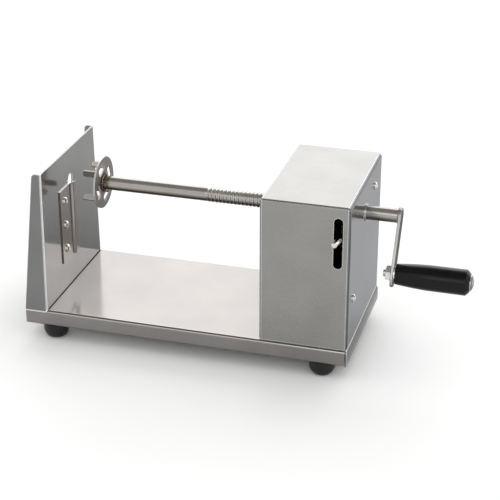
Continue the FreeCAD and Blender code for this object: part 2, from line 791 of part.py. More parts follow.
def make_welds():
    """Fillet welds of the tube to the disc and to the crank arm."""
    tube, leg, gap = s.tube_diameter / 2, s.weld_leg, s.seam_gap
    body = new_body("disc_weld", at.disc_face + s.disc_sheet, at.axis_y, at.axis_z)
    turned(body, [(0, tube + gap), (0, tube + leg), (leg, tube + gap)])
    body = new_body("arm_weld", at.arm_face, at.axis_y, at.axis_z)
    turned(body, [(0, tube + gap), (-leg / 2, tube + gap), (0, tube + leg / 2)])


# ---------------------------------------------------------------- housing
def make_housing_cover():
    body = new_body("housing_cover", at.panel_face, at.axis_y, at.deck_top)
    half, high = s.housing_depth / 2, at.housing_high
    length = at.panel_face - at.wall_face - 2 * s.cover_reveal
    sketch = new_sketch(body, "YZ_Plane", -s.cover_reveal - length)
    draw_outline(sketch, folded_sheet([
        (-half, s.cover_gap), (-half, high), (half, high), (half, s.cover_gap)], s.sheet, s.bend_radius, -1))
    extrude(body, sketch, length)
    # slot of the release lever
    sketch = new_sketch(body, "XZ_Plane", half)
    end = s.slot_width / 2
    middle = at.tray_right - s.slot_inset - at.panel_face
    top = s.axis_height - s.slot_drop + s.slot_length / 2 - end
    foot = s.axis_height - s.slot_drop - s.slot_length / 2 + end
    draw_outline(sketch, [
        (middle - end, foot), (middle + end, foot, middle, foot, 1),
        (middle + end, top), (middle - end, top, middle, top, 1)])
    cut(body, sketch, s.sheet)


def make_wall(label, x, turn, hole):
    """Shallow pan that closes one end of the housing, face on +X and flanges behind it."""
    body = new_body(label, x, at.axis_y, at.deck_top, turn, Vec(0, 0, 1))
    half = s.housing_depth / 2 - s.sheet - s.seam_gap
    high = at.housing_high - s.sheet - s.seam_gap
    corner = s.bend_radius
    sketch = new_sketch(body, "YZ_Plane")
    draw_outline(sketch, [
        (-half, 0), (half, 0), (half, high - corner), (half - corner, high, half - corner, high - corner, 1),
        (corner - half, high), (-half, high - corner, corner - half, high - corner, 1)])
    extrude(body, sketch, s.wall_flange, back=True)
    soften(body, s.wall_bend, lambda edge: edge.BoundBox.XMin > -0.01)
    doc.recompute()
    base = body.Tip
    shell = body.newObject("PartDesign::Thickness", f"{label}_shell")
    shell.Base = (base, [f"Face{number}" for number, face in enumerate(base.Shape.Faces, start=1)
                         if face.BoundBox.XMax < 0.01 - s.wall_flange.value])
    shell.Reversed = True
    shell.setExpression("Value", s.sheet.text)
    body.Tip = shell
    sketch = new_sketch(body, "YZ_Plane", 1)
    draw_circle(sketch, 0, s.axis_height, hole)
    if label == "side_panel":
        for y, z in panel_screw_places():
            draw_circle(sketch, y, s.axis_height + z, at.screw_hole)
    cut(body, sketch, 3 * s.sheet)
    if label == "side_panel":
        # notch of the front flange behind the lever's slot
        sketch = new_sketch(body, "XZ_Plane", half + 1)
        near = s.panel_setback - s.slot_inset + s.slot_width / 2 + 1
        middle, reach = s.axis_height - s.slot_drop, s.slot_length / 2 + 1
        draw_outline(sketch, [
            (near, middle - reach), (near, middle + reach), (-s.wall_flange - 1, middle + reach),
            (-s.wall_flange - 1, middle - reach)])
        cut(body, sketch, 2 * s.sheet + 1)
    sketch = new_sketch(body, "XY_Plane", 2 * s.sheet)
    for way in (-1, 1):
        draw_circle(sketch, -(s.wall_flange + s.sheet) / 2, way * s.wall_screw_pitch / 2, at.screw_hole)
    cut(body, sketch, 3 * s.sheet)


def panel_screw_places():
    """The screws of the lever's pivot and of the spring post, from the shaft axis."""
    return (s.pivot_back, s.pivot_rise), (-at.spring_front, -s.spring_post_drop)


def make_housing_fasteners():
    right, left = wall_screw_places()
    y = at.axis_y - s.wall_screw_pitch / 2
    body = new_body("housing_screws", left, y, at.deck_top - s.sheet, 90.0, Vec(0, 1, 0))
    length = 2 * s.sheet + s.nut_height + s.screw_end
    screw = add_round_screw(body, s.screw_diameter, s.head_diameter, s.head_height, length)
    spread_four(body, screw, right - left, s.wall_screw_pitch, 1)
    body = new_body("housing_nuts", left, y, at.deck_top + s.sheet, -90.0, Vec(0, 1, 0))
    nut = add_hex(body, s.nut_flats, s.nut_height, at.tapped_hole)
    spread_four(body, nut, right - left, s.wall_screw_pitch, None)


def make_bushes():
    bore, hole = at.bush_bore, at.bush_body
    # bush that turns with the shaft in the side panel, held inside by a ring in its groove
    body = new_body("guide_bush", at.panel_face, at.axis_y, at.axis_z)
    seat, groove = -s.sheet - s.lever_gap, hole - s.bush_wall * 0.4
    ring = s.clip_thickness + 0.1
    tail = -s.sheet - s.bush_tail
    turned(body, [
        (tail, bore), (tail, hole), (seat - ring, hole), (seat - ring, groove), (seat, groove), (seat, hole),
        (s.lever_gap, hole), (s.lever_gap, s.bush_rim / 2), (s.lever_gap + s.bush_rim_sheet, s.bush_rim / 2),
        (s.lever_gap + s.bush_rim_sheet, bore)])
    body = new_body("bush_ring", at.panel_face, at.axis_y, at.axis_z)
    turned(body, [
        (seat - s.clip_thickness - 0.05, groove + 0.05), (seat - s.clip_thickness - 0.05, hole + 1.4),
        (seat - 0.05, hole + 1.4), (seat - 0.05, groove + 0.05)])
    # fixed bush in the wall towards the potato
    body = new_body("wall_bush", at.wall_face, at.axis_y, at.axis_z)
    outer = s.wall_bush_diameter / 2
    turned(body, [
        (-s.wall_bush_rim_sheet, bore), (-s.wall_bush_rim_sheet, s.wall_bush_rim / 2 - 0.8),
        (0.8 - s.wall_bush_rim_sheet, s.wall_bush_rim / 2), (0, s.wall_bush_rim / 2), (0, outer),
        (s.wall_bush_length, outer), (s.wall_bush_length, bore)])


# ---------------------------------------------------------------- release lever
def make_lever():
    thick = s.lever_sheet
    body = new_body("lever_plate", at.lever_middle, at.pivot_y, at.pivot_z)
    eye, drop, end = s.lever_eye, s.pivot_rise, s.lever_front_half
    over = s.thread_crest / 2 + s.lever_arch_gap - drop  # underside where it crosses the shaft
    front = s.housing_depth / 2 + s.pivot_back - s.lever_front_gap
    crown, arch = s.lever_crown_half, s.lever_arch_half
    hook = s.pivot_back + at.spring_front
    sketch = new_sketch(body, "YZ_Plane")
    draw_outline(sketch, [
        (0, eye, 0, 0, 1), (crown - s.pivot_back, s.lever_crown), (-crown - s.pivot_back, s.lever_crown),
        (-hook, end - s.pin_drop), (-front, end - s.pin_drop), (-front, -end - s.pin_drop),
        (end - hook, -end - s.pin_drop), (-arch - s.pivot_back, over), (arch - s.pivot_back, over),
        (0, -eye)])
    draw_circle(sketch, 0, 0, s.pivot_diameter / 2 + s.thread_gap)
    draw_circle(sketch, -hook, -s.hook_hole_drop - s.pin_drop, s.hook_hole)
    for way in (-1, 1):
        draw_circle(sketch, way * s.nut_screw_spread / 2 - s.pivot_back, nut_screw_rise() - drop,
                    s.nut_screw_diameter / 2 + s.hole_gap / 2)
    extrude(body, sketch, thick, both=True)
    # bent pin that the cook lifts, on the front edge of the lever
    reach = s.housing_depth / 2 + s.pivot_back + s.pin_reach - at.pin_tip
    body = new_body("release_pin", at.lever_middle, at.pivot_y, at.pivot_z - s.pin_drop)
    knee = front + s.pin_straight
    lean = (reach - knee) * tangent(s.pin_bend)
    route = new_sketch(body, "XY_Plane")
    points = [(0, -front), (0, -knee), (-lean, -reach)]
    for number, (start, end) in enumerate(zip(points, points[1:])):
        ends = [tuple(as_size(part) for part in point) for point in (start, end)]
        item = route.addGeometry(Part.LineSegment(*(Vec(x.value, y.value, 0) for x, y in ends)))
        fix_point(route, item, 2, *ends[1])
        if number == 0:
            fix_point(route, item, 1, *ends[0])
        else:
            route.addConstraint(Sketcher.Constraint("Coincident", item - 1, 2, item, 1))
    section = new_sketch(body, "XZ_Plane", front)
    draw_circle(section, 0, 0, s.pin_diameter / 2)
    pipe = body.newObject("PartDesign::AdditivePipe", "release_pin_rod")
    pipe.Profile = section
    pipe.Spine = (route, ["Edge1", "Edge2"])
    pipe.Transition = 2
    body.Tip = pipe
    soften(body, s.pin_diameter * 0.3, lambda edge: edge.BoundBox.YMax < 1 - reach.value)


def nut_screw_rise():
    return s.thread_crest / 2 + s.nut_screw_rise


def make_half_nut():
    """Block that rides on the top of the shaft, cut with the shaft's own thread and some room."""
    left = at.nut_face - s.nut_length
    body = new_body("half_nut", at.thread_left, at.axis_y, at.axis_z)
    begin = left - at.thread_left
    wide, top = s.nut_half_width, s.pivot_rise + s.nut_top
    open_low = s.thread_root / 2 * 0.66
    sketch = new_sketch(body, "YZ_Plane", begin)
    inner = s.thread_root / 2 + s.nut_clearance
    reach = root(inner * inner - open_low * open_low)
    draw_outline(sketch, [
        (wide, open_low), (wide, top - 2), (wide - 2, top), (2 - wide, top), (-wide, top - 2),
        (-wide, open_low), (-reach, open_low), (reach, open_low, 0, 0, -1)])
    for way in (-1, 1):
        draw_circle(sketch, way * s.nut_screw_spread / 2, nut_screw_rise(),
                    s.nut_screw_diameter / 2 + s.thread_gap)
    extrude(body, sketch, s.nut_length)
    first = whole(begin / s.thread_pitch) - 1
    turns = whole(s.nut_length / s.thread_pitch) + 3
    sketch = new_sketch(body, "XZ_Plane")
    draw_outline(sketch, ridge_outline(first * s.thread_pitch, s.nut_clearance))
    add_helix(body, sketch, "PartDesign::SubtractiveHelix", turns * s.thread_pitch)
    # screws that hold the nut to the lever
    body = new_body("nut_screws", at.nut_face + s.lever_sheet, at.axis_y - s.nut_screw_spread / 2,
                    at.axis_z + nut_screw_rise())
    screw = add_round_screw(body, s.nut_screw_diameter, s.nut_screw_diameter * 1.8,
                            s.nut_screw_diameter * 0.6, s.lever_sheet + s.nut_length - 1)
    row_of(body, screw, "Y_Axis", s.nut_screw_spread, 2)


def make_panel_posts():
    """Pivot post and spring post, each held by a screw from outside the side panel."""
    depth = at.panel_inside - at.nut_face - s.lever_sheet - s.lever_gap
    journal = s.lever_sheet + 2 * s.lever_gap
    groove, tip = s.clip_thickness + 0.1, 1.0
    shaft, shoulder, tapped = s.pivot_diameter / 2, s.shoulder_diameter / 2, at.tapped_hole
    bottom = depth + 1.0
    body = new_body("lever_post", at.panel_inside, at.pivot_y, at.pivot_z)
    full = depth + journal + groove + tip
    turned(body, [
        (0, tapped), (0, shoulder), (-depth, shoulder), (-depth, shaft), (-depth - journal, shaft),
        (-depth - journal, shaft - 0.6), (-depth - journal - groove, shaft - 0.6),
        (-depth - journal - groove, shaft), (-full, shaft), (-full, 0), (-bottom, 0), (-bottom, tapped)])
    body = new_body("lever_clip", at.panel_inside - depth - journal - groove + 0.05, at.pivot_y, at.pivot_z)
    turned(body, [
        (0, shaft - 0.55), (s.clip_thickness, shaft - 0.55), (s.clip_thickness, s.clip_diameter / 2),
        (0, s.clip_diameter / 2)])
    y, z = at.axis_y - at.spring_front, at.axis_z - s.spring_post_drop
    body = new_body("spring_post", at.panel_inside, y, z)
    post, neck = s.post_diameter / 2, s.spring_diameter / 2 - s.spring_wire - 0.1
    middle, wide = at.panel_inside - at.lever_middle, s.spring_wire + 0.4
    hole = s.post_screw_reach * 1.1
    turned(body, [
        (0, tapped), (0, post), (-middle + wide / 2, post), (-middle + wide / 2, neck),
        (-middle - wide / 2, neck), (-middle - wide / 2, post), (-middle - wide / 2 - s.post_end, post),
        (-middle - wide / 2 - s.post_end, 0), (-hole, 0), (-hole, tapped)])
    body = new_body("panel_screws", at.panel_face, y, z)
    length = s.sheet + s.post_screw_reach
    screw = add_round_screw(body, s.screw_diameter, s.head_diameter, s.head_height, length)
    other = add_second_screw(body)
    return screw, other


def add_second_screw(body):
    """The screw of the lever's pivot, drawn again at its own place in the same body."""
    sketch = new_sketch(body, "XZ_Plane", -(s.pivot_back + at.spring_front))
    rise = s.pivot_rise + s.spring_post_drop
    length, wide = s.sheet + s.post_screw_reach, s.head_diameter
    path = head_outline(s.screw_diameter, wide, s.head_height, length)
    raised = [(x, rise + radius) for x, radius in path]
    draw_outline(sketch, raised)
    line = sketch.addGeometry(Part.LineSegment(Vec(0, rise.value, 0), Vec(wide.value, rise.value, 0)), True)
    fix_point(sketch, line, 1, as_size(0), rise)
    fix_point(sketch, line, 2, wide, rise)
    screw = body.newObject("PartDesign::Revolution", "panel_screws_second")
    screw.Profile = sketch
    screw.ReferenceAxis = (sketch, ["Axis0"])
    screw.Angle = 360.0
    body.Tip = screw
    return screw


def make_return_spring():
    """Tension spring from the lever down to its post: close coils as a sleeve, and two hooks."""
    low = at.axis_z - s.spring_post_drop
    span = at.pivot_z - s.pin_drop - s.hook_hole_drop - low
    body = new_body("return_spring", at.lever_middle, at.axis_y - at.spring_front, low)
    wire, radius = s.spring_wire / 2, s.spring_diameter / 2
    middle, loop = radius - wire, s.hook_radius
    start, end = middle + 1.5, span - 2 * loop - 1.5
    sketch = new_sketch(body, "XY_Plane", start)
    draw_circle(sketch, 0, 0, radius)
    draw_circle(sketch, 0, 0, radius - s.spring_wire)
    extrude(body, sketch, end - start)
    # eye round the post
    sketch = new_sketch(body, "XZ_Plane")
    flat = wire * 0.88
    draw_outline(sketch, [(-flat, middle - flat), (flat, middle - flat), (flat, middle + flat),
                          (-flat, middle + flat)])
    spin(body, sketch, "H_Axis")
    sketch = new_sketch(body, "XY_Plane")
    draw_circle(sketch, 0, middle, wire)
    extrude(body, sketch, start + 0.5)
    # eye through the lever
    sketch = new_sketch(body, "XY_Plane", span - loop)
    draw_outline(sketch, [(loop - flat, -flat), (loop + flat, -flat), (loop + flat, flat), (loop - flat, flat)])
    spin(body, sketch, "V_Axis")
    sketch = new_sketch(body, "XY_Plane", end - 0.5)
    draw_circle(sketch, loop, 0, wire)
    extrude(body, sketch, span - loop - end + 0.5)


# ---------------------------------------------------------------- crank and grip
def make_crank_arm():
    body = new_body("crank_arm", at.arm_face, at.axis_y, at.axis_z, -s.crank_turn)
    half, low = s.arm_width / 2, -s.crank_radius - s.arm_tail
    sketch = new_sketch(body, "YZ_Plane")
    draw_outline(sketch, [(-half, low), (half, low, 0, low, 1), (half, 0), (-half, 0, 0, 0, 1)])
    draw_circle(sketch, 0, -s.crank_radius, s.bolt_diameter / 2 + s.thread_gap)
    extrude(body, sketch, s.arm_sheet)
    soften(body, 0.35, lambda edge: edge.BoundBox.ZLength > s.bolt_diameter.value + 1, "PartDesign::Chamfer")


def make_grip():
    place = (at.grip_y, at.grip_z)
    body = new_body("grip", at.grip_face, *place)
    long, neck, belly, end = s.grip_length, s.grip_neck / 2, s.grip_belly / 2, s.grip_end / 2
    bore = s.sleeve_diameter / 2 + s.thread_gap
    recess, head = long - s.bolt_recess, s.bolt_head_diameter / 2 + s.hole_gap
    third = long * 0.32
    swell = [(third * part, neck + (belly - neck) * rise) for part, rise in (
        (0.25, 0.44), (0.5, 0.75), (0.75, 0.94), (1.0, 1.0))]
    turned(body, [
        (0, bore), (0, neck - 0.6), (0.6, neck), *swell,
        (long - s.grip_chamfer, end), (long, end - s.grip_chamfer * 0.8), (long, head), (recess, head),
        (recess, bore)])
    body = new_body("grip_washer", at.arm_face + s.arm_sheet, *place)
    add_washer(body, s.grip_washer_diameter, s.grip_washer_sheet, s.bolt_diameter / 2 + s.thread_gap)
    start = at.arm_face + s.arm_sheet + s.grip_washer_sheet
    body = new_body("grip_sleeve", start, *place)
    add_washer(body, s.sleeve_diameter, at.sleeve_length, s.bolt_diameter / 2 + s.thread_gap)
    body = new_body("grip_bolt", start + at.sleeve_length, *place)
    length = at.sleeve_length + s.grip_washer_sheet + s.arm_sheet + s.bolt_nut_height + s.bolt_end
    add_round_screw(body, s.bolt_diameter, s.bolt_head_diameter, s.bolt_head_height, length)
    body = new_body("grip_nut", at.arm_face - s.bolt_nut_height, *place)
    add_hex(body, s.bolt_nut_flats, s.bolt_nut_height, s.bolt_diameter / 2 + s.thread_gap)


make_tray()
make_feet()
make_end_bracket()
make_blade()
make_blade_fasteners()
make_shaft_tube()
make_holder_disc()
make_welds()
make_housing_cover()
make_wall("side_panel", at.panel_face, 0.0, at.bush_body + s.thread_gap)
make_wall("left_wall", at.wall_face, 180.0, s.wall_bush_diameter / 2 + s.seam_gap)
make_housing_fasteners()
make_bushes()
make_lever()
make_half_nut()
make_panel_posts()
make_return_spring()
make_crank_arm()
make_grip()
doc.recompute()

# Nothing is written unless every object is sound
for item in doc.Objects:
    for state in ("Invalid", "Error"):
        if state in item.State:
            raise RuntimeError(f"{item.Name}: {item.State}")
for label, body in nodes.items():
    shape = body.Shape
    if shape.isNull() or not shape.isValid() or not shape.Solids:
        raise RuntimeError(f"{label} has no sound solid")

os.makedirs("parts", exist_ok=True)
for label, body in nodes.items():
    body.Shape.exportStep(f"parts/{label}.step")
    print(label, len(body.Shape.Solids), round(body.Shape.Volume, 1))
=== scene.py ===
import bmesh
import bpy
import math
import numpy as np
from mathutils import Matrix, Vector


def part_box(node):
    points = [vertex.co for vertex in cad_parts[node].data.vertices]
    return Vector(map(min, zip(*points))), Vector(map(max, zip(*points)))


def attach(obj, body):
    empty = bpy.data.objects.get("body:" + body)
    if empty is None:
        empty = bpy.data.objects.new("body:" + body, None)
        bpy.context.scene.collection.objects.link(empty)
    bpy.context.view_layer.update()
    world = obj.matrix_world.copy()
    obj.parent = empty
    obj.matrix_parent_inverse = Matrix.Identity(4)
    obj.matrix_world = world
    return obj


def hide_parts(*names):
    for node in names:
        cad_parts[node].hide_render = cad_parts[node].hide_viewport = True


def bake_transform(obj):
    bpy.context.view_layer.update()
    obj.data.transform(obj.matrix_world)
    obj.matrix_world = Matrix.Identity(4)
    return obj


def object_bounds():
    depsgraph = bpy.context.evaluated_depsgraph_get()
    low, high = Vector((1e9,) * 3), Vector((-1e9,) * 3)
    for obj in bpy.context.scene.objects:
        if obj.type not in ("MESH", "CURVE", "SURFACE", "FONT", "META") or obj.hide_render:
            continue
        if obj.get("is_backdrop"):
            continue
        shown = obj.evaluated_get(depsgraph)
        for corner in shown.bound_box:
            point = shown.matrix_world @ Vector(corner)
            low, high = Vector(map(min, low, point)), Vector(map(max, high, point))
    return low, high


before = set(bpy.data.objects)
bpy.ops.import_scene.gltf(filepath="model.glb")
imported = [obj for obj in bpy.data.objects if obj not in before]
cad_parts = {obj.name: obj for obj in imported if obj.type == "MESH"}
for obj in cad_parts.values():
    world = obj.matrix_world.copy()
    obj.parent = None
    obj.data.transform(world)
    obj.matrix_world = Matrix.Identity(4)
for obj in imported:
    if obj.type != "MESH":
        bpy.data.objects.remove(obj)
mm = 0.001  # sizes below are in millimetres


def keepSize(name, sizes):
    sizes[name] = [[round(float(value), 6) for value in corner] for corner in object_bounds()]


sizes = {}
keepSize("frame", sizes)


# The two corners of a box of the frame, in millimetres
def inMm(box):
    return (np.array(corner) / mm for corner in box)


# Where the pieces are, read from the frame
tubeLow, tubeHigh = inMm(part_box("shaft_tube"))
axisY, axisZ = (tubeLow[1] + tubeHigh[1]) / 2, (tubeLow[2] + tubeHigh[2]) / 2
trayLow, trayHigh = inMm(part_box("tray"))
discLow, discHigh = inMm(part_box("holder_disc"))
weldX = tubeLow[0] + 2  # the tube is welded to the disc here
print("frame: loaded")


# Grids of points (rows, columns, 3) in millimetres become one object. Quads join neighbouring
# points, the last column joins the first, and with closedRows the last row joins the first too.
def surfaceObject(name, grids, closedRows=False, sharpAngle=32):
    vertices, faces, count = [], [], 0
    for points in grids:
        rows, columns = points.shape[:2]
        index = np.arange(rows * columns).reshape(rows, columns) + count
        if closedRows:
            index = np.vstack([index, index[:1]])
        index = np.hstack([index, index[:, :1]])
        quads = [index[:-1, :-1], index[:-1, 1:], index[1:, 1:], index[1:, :-1]]
        faces.append(np.stack(quads, axis=-1).reshape(-1, 4))
        vertices.append(points.reshape(-1, 3))
        count += rows * columns
    mesh = bpy.data.meshes.new(name)
    mesh.from_pydata((np.vstack(vertices) * mm).tolist(), [], np.vstack(faces).tolist())
    mesh.validate()
    joinDoubles(mesh)
    mesh.shade_smooth()
    mesh.set_sharp_from_angle(angle=math.radians(sharpAngle))
    item = bpy.data.objects.new(name, mesh)
    bpy.context.collection.objects.link(item)
    return item


# Closes seams and poles, and turns the faces outwards
def joinDoubles(mesh):
    work = bmesh.new()
    work.from_mesh(mesh)
    bmesh.ops.remove_doubles(work, verts=work.verts, dist=1e-7)
    bmesh.ops.dissolve_degenerate(work, edges=work.edges, dist=1e-8)
    bmesh.ops.recalc_face_normals(work, faces=work.faces)
    work.to_mesh(mesh)
    work.free()


# A round surface about a line parallel to X: each outline step is (x, radius), the angle runs
# from +Y towards +Z, and swell adds to the radius at (x, angle)
def turnedPoints(outline, centre, steps, swell=None):
    outline = np.array(outline, float)
    angle = np.arange(steps) * 2 * math.pi / steps
    x, turn = np.meshgrid(outline[:, 0], angle, indexing="ij")
    radius = np.repeat(outline[:, 1:2], steps, axis=1)
    if swell is not None:
        radius = radius + swell(x, turn, radius)
    y, z = centre[1] + radius * np.cos(turn), centre[2] + radius * np.sin(turn)
    return np.stack([centre[0] + x, y, z], axis=-1)


# A wire of round section carried along a path: at each point, radius times the two directions
# square to the path, turned with it
def wirePoints(path, radius, steps=12):
    ahead = np.gradient(path, axis=0)
    ahead /= np.linalg.norm(ahead, axis=1, keepdims=True)
    side = np.zeros_like(ahead)
    side[0] = np.cross(ahead[0], [0.31, 0.24, 0.92])  # any direction that isn't the path's
    for number in range(len(path)):  # each side direction follows the one before
        before = side[max(number - 1, 0)]
        side[number] = before - ahead[number] * before.dot(ahead[number])
        side[number] /= np.linalg.norm(side[number])
    up = np.cross(ahead, side)
    angle = np.arange(steps) * 2 * math.pi / steps
    ring = side[:, None] * np.cos(angle)[:, None] + up[:, None] * np.sin(angle)[:, None]
    wire = path[:, None] + radius * ring
    ends = [np.repeat(end[None, None], steps, 1) for end in (path[0], path[-1])]
    return np.concatenate([ends[0], wire, ends[1]])


# 0 below 0, 1 above 1, and value^2 * (3 - 2 * value) between
def smooth(value):
    value = np.clip(value, 0, 1)
    return value * value * (3 - 2 * value)


# sRGB hex to linear: c / 12.92 below 0.04045, else ((c + 0.055) / 1.055) ^ 2.4
def linear(colour):
    parts = [int(colour[start:start + 2], 16) / 255 for start in (1, 3, 5)]
    parts = [part / 12.92 if part <= 0.04045 else ((part + 0.055) / 1.055) ** 2.4 for part in parts]
    return (*parts, 1.0)


def newMaterial(name):
    material = bpy.data.materials.new(name)
    material.use_nodes = True
    return material, material.node_tree.nodes["Principled BSDF"]


# Adds a node to a material or world, sets its sockets and properties, and links the sockets that
# "links" names
def addNode(owner, kind, values=None, links=None, **properties):
    node = owner.node_tree.nodes.new(kind)
    for key, value in properties.items():
        setattr(node, key, value)
    for key, value in (values or {}).items():
        node.inputs[key].default_value = value
    for key, source in (links or {}).items():
        connect(owner, source, node.inputs[key])
    return node


def connect(owner, source, target):
    owner.node_tree.links.new(source, target)


# Fine parallel scratches along one axis, with cloudy patches that vary colour and gloss a little.
# grain is the spacing of the scratches and length their length, both coarse enough to show.
def brushedMetal(name, facts):
    material, shader = newMaterial(name)
    shader.inputs["Metallic"].default_value = 1.0
    shader.inputs["Specular Tint"].default_value = linear(facts["glance"])
    place = addNode(material, "ShaderNodeTexCoord").outputs["Object"]
    stretch = [1 / (facts["grain"] * mm)] * 3
    stretch["XYZ".index(facts["along"])] = 1 / (facts["length"] * mm)
    lines = addNode(material, "ShaderNodeMapping", {"Scale": stretch}, {"Vector": place})
    scratches = addNode(material, "ShaderNodeTexNoise", {
        "Scale": 1.0, "Detail": 3.0, "Roughness": 0.6}, {"Vector": lines.outputs["Vector"]})
    cloudSize = 45 * mm
    clouds = addNode(material, "ShaderNodeTexNoise", {
        "Scale": 1 / cloudSize, "Detail": 3.0}, {"Vector": place})
    gloss = addNode(material, "ShaderNodeMapRange", {
        "From Min": 0.25, "From Max": 0.75, "To Min": facts["roughness"] - facts["change"],
        "To Max": facts["roughness"] + facts["change"]}, {"Value": scratches.outputs["Fac"]})
    connect(material, gloss.outputs["Result"], shader.inputs["Roughness"])
    patches = addNode(material, "ShaderNodeMapRange", {
        "From Min": 0.3, "From Max": 0.7, "To Min": 0.0, "To Max": 1.0},
        {"Value": clouds.outputs["Fac"]})
    tone = addNode(material, "ShaderNodeMix", {
        "A": linear(facts["colour"]), "B": linear(facts["shade"])},
        {"Factor": patches.outputs["Result"]}, data_type="RGBA")
    streak = addNode(material, "ShaderNodeMapRange", {
        "From Min": 0.2, "From Max": 0.8, "To Min": 1 - facts["streak"], "To Max": 1.0},
        {"Value": scratches.outputs["Fac"]})
    tone = addNode(material, "ShaderNodeMix", {"Factor": 1.0}, {
        "A": tone.outputs["Result"], "B": streak.outputs["Result"]},
        data_type="RGBA", blend_type="MULTIPLY")
    # painted highlight along the edges, facts["edge"] millimetres wide
    if facts["edge"]:
        tone = paintEdgeHighlight(material, tone, facts["edge"])
    connect(material, tone.outputs["Result"], shader.inputs["Base Color"])
    bump = addNode(material, "ShaderNodeBump", {
        "Strength": facts["bump"], "Distance": 0.02 * mm}, {"Height": scratches.outputs["Fac"]})
    connect(material, bump.outputs["Normal"], shader.inputs["Normal"])
    return material, shader, tone


# Painted highlight on cut and folded edges: where the normal of a rounded edge leaves the flat
# one, within the given width in millimetres, the metal is painted paler, as if it caught the light
def paintEdgeHighlight(material, tone, width):
    rounded = addNode(material, "ShaderNodeBevel", {"Radius": width * mm}, samples=6)
    flat = addNode(material, "ShaderNodeNewGeometry")
    same = addNode(material, "ShaderNodeVectorMath", {}, {
        0: rounded.outputs["Normal"], 1: flat.outputs["True Normal"]}, operation="DOT_PRODUCT")
    share = addNode(material, "ShaderNodeMapRange", {
        "From Min": 0.995, "From Max": 0.9, "To Min": 0.0, "To Max": 0.75},
        {"Value": same.outputs["Value"]})
    return addNode(material, "ShaderNodeMix", {"B": linear("#f4f2f0")}, {
        "Factor": share.outputs["Result"], "A": tone.outputs["Result"]}, data_type="RGBA")


# Distance from a point or line, in millimetres: counted is 1 for the axes that count
def distanceFrom(material, centre, counted):
    place = addNode(material, "ShaderNodeTexCoord").outputs["Object"]
    moved = addNode(material, "ShaderNodeVectorMath", {
        1: [value * mm for value in centre]}, {0: place}, operation="SUBTRACT")
    masked = addNode(material, "ShaderNodeVectorMath", {
        1: [value / mm for value in counted]}, {0: moved.outputs[0]}, operation="MULTIPLY")
    length = addNode(material, "ShaderNodeVectorMath", {}, {
        0: masked.outputs[0]}, operation="LENGTH")
    return length.outputs["Value"]


# Lays bands of another colour over a tone: stops are (distance in mm, colour, strength)
def tint(material, shader, tone, distance, stops):
    reach = stops[-1][0]
    share = addNode(material, "ShaderNodeMath", {1: reach}, {0: distance}, operation="DIVIDE")
    colours = [linear(stop[1]) for stop in stops]
    strengths = [(stop[2],) * 3 + (1.0,) for stop in stops]
    ramps = []
    for values in (colours, strengths):
        ramp = addNode(material, "ShaderNodeValToRGB", {}, {"Fac": share.outputs[0]})
        elements = ramp.color_ramp.elements
        elements[0].position, elements[-1].position = stops[0][0] / reach, stops[-1][0] / reach
        elements[0].color, elements[-1].color = values[0], values[-1]
        for stop, value in list(zip(stops, values))[1:-1]:
            elements.new(stop[0] / reach).color = value
        ramps.append(ramp.outputs["Color"])
    laid = addNode(material, "ShaderNodeMix", {}, {
        "Factor": ramps[1], "A": tone.outputs["Result"], "B": ramps[0]},
        data_type="RGBA", blend_type="MIX")
    connect(material, laid.outputs["Result"], shader.inputs["Base Color"])
    return laid


# Painted light and shade: a face that looks along an axis has its tone multiplied by gain, lighter
# or darker for how the light falls on that side. A metallic value below 1 lays a fine haze over the
# mirror, because part of the light is scattered.
# spread is the dot product of normal and axis where the change begins and where it is full.
def paintFacingLight(material, shader, tone, axis, gain, metal=1.0, spread=(0.7, 0.95)):
    normal = addNode(material, "ShaderNodeNewGeometry").outputs["Normal"]
    faced = addNode(material, "ShaderNodeVectorMath", {1: axis}, {0: normal},
                    operation="DOT_PRODUCT")
    share = addNode(material, "ShaderNodeMapRange", {
        "From Min": spread[0], "From Max": spread[1]}, {"Value": faced.outputs["Value"]})
    if metal < 1:
        haze = addNode(material, "ShaderNodeMapRange", {"To Min": 1.0, "To Max": metal},
                       {"Value": share.outputs["Result"]})
        level, earlier = haze.outputs["Result"], shader.inputs["Metallic"].links
        if earlier:
            level = addNode(material, "ShaderNodeMath", {}, {
                0: earlier[0].from_socket, 1: level}, operation="MULTIPLY").outputs[0]
        connect(material, level, shader.inputs["Metallic"])
    change = addNode(material, "ShaderNodeMix", {"A": (1, 1, 1, 1), "B": (*gain, 1)}, {
        "Factor": share.outputs["Result"]}, data_type="RGBA")
    laid = addNode(material, "ShaderNodeMix", {"Factor": 1.0}, {
        "A": tone.outputs["Result"], "B": change.outputs["Result"]},
        data_type="RGBA", blend_type="MULTIPLY")
    connect(material, laid.outputs["Result"], shader.inputs["Base Color"])
    return laid


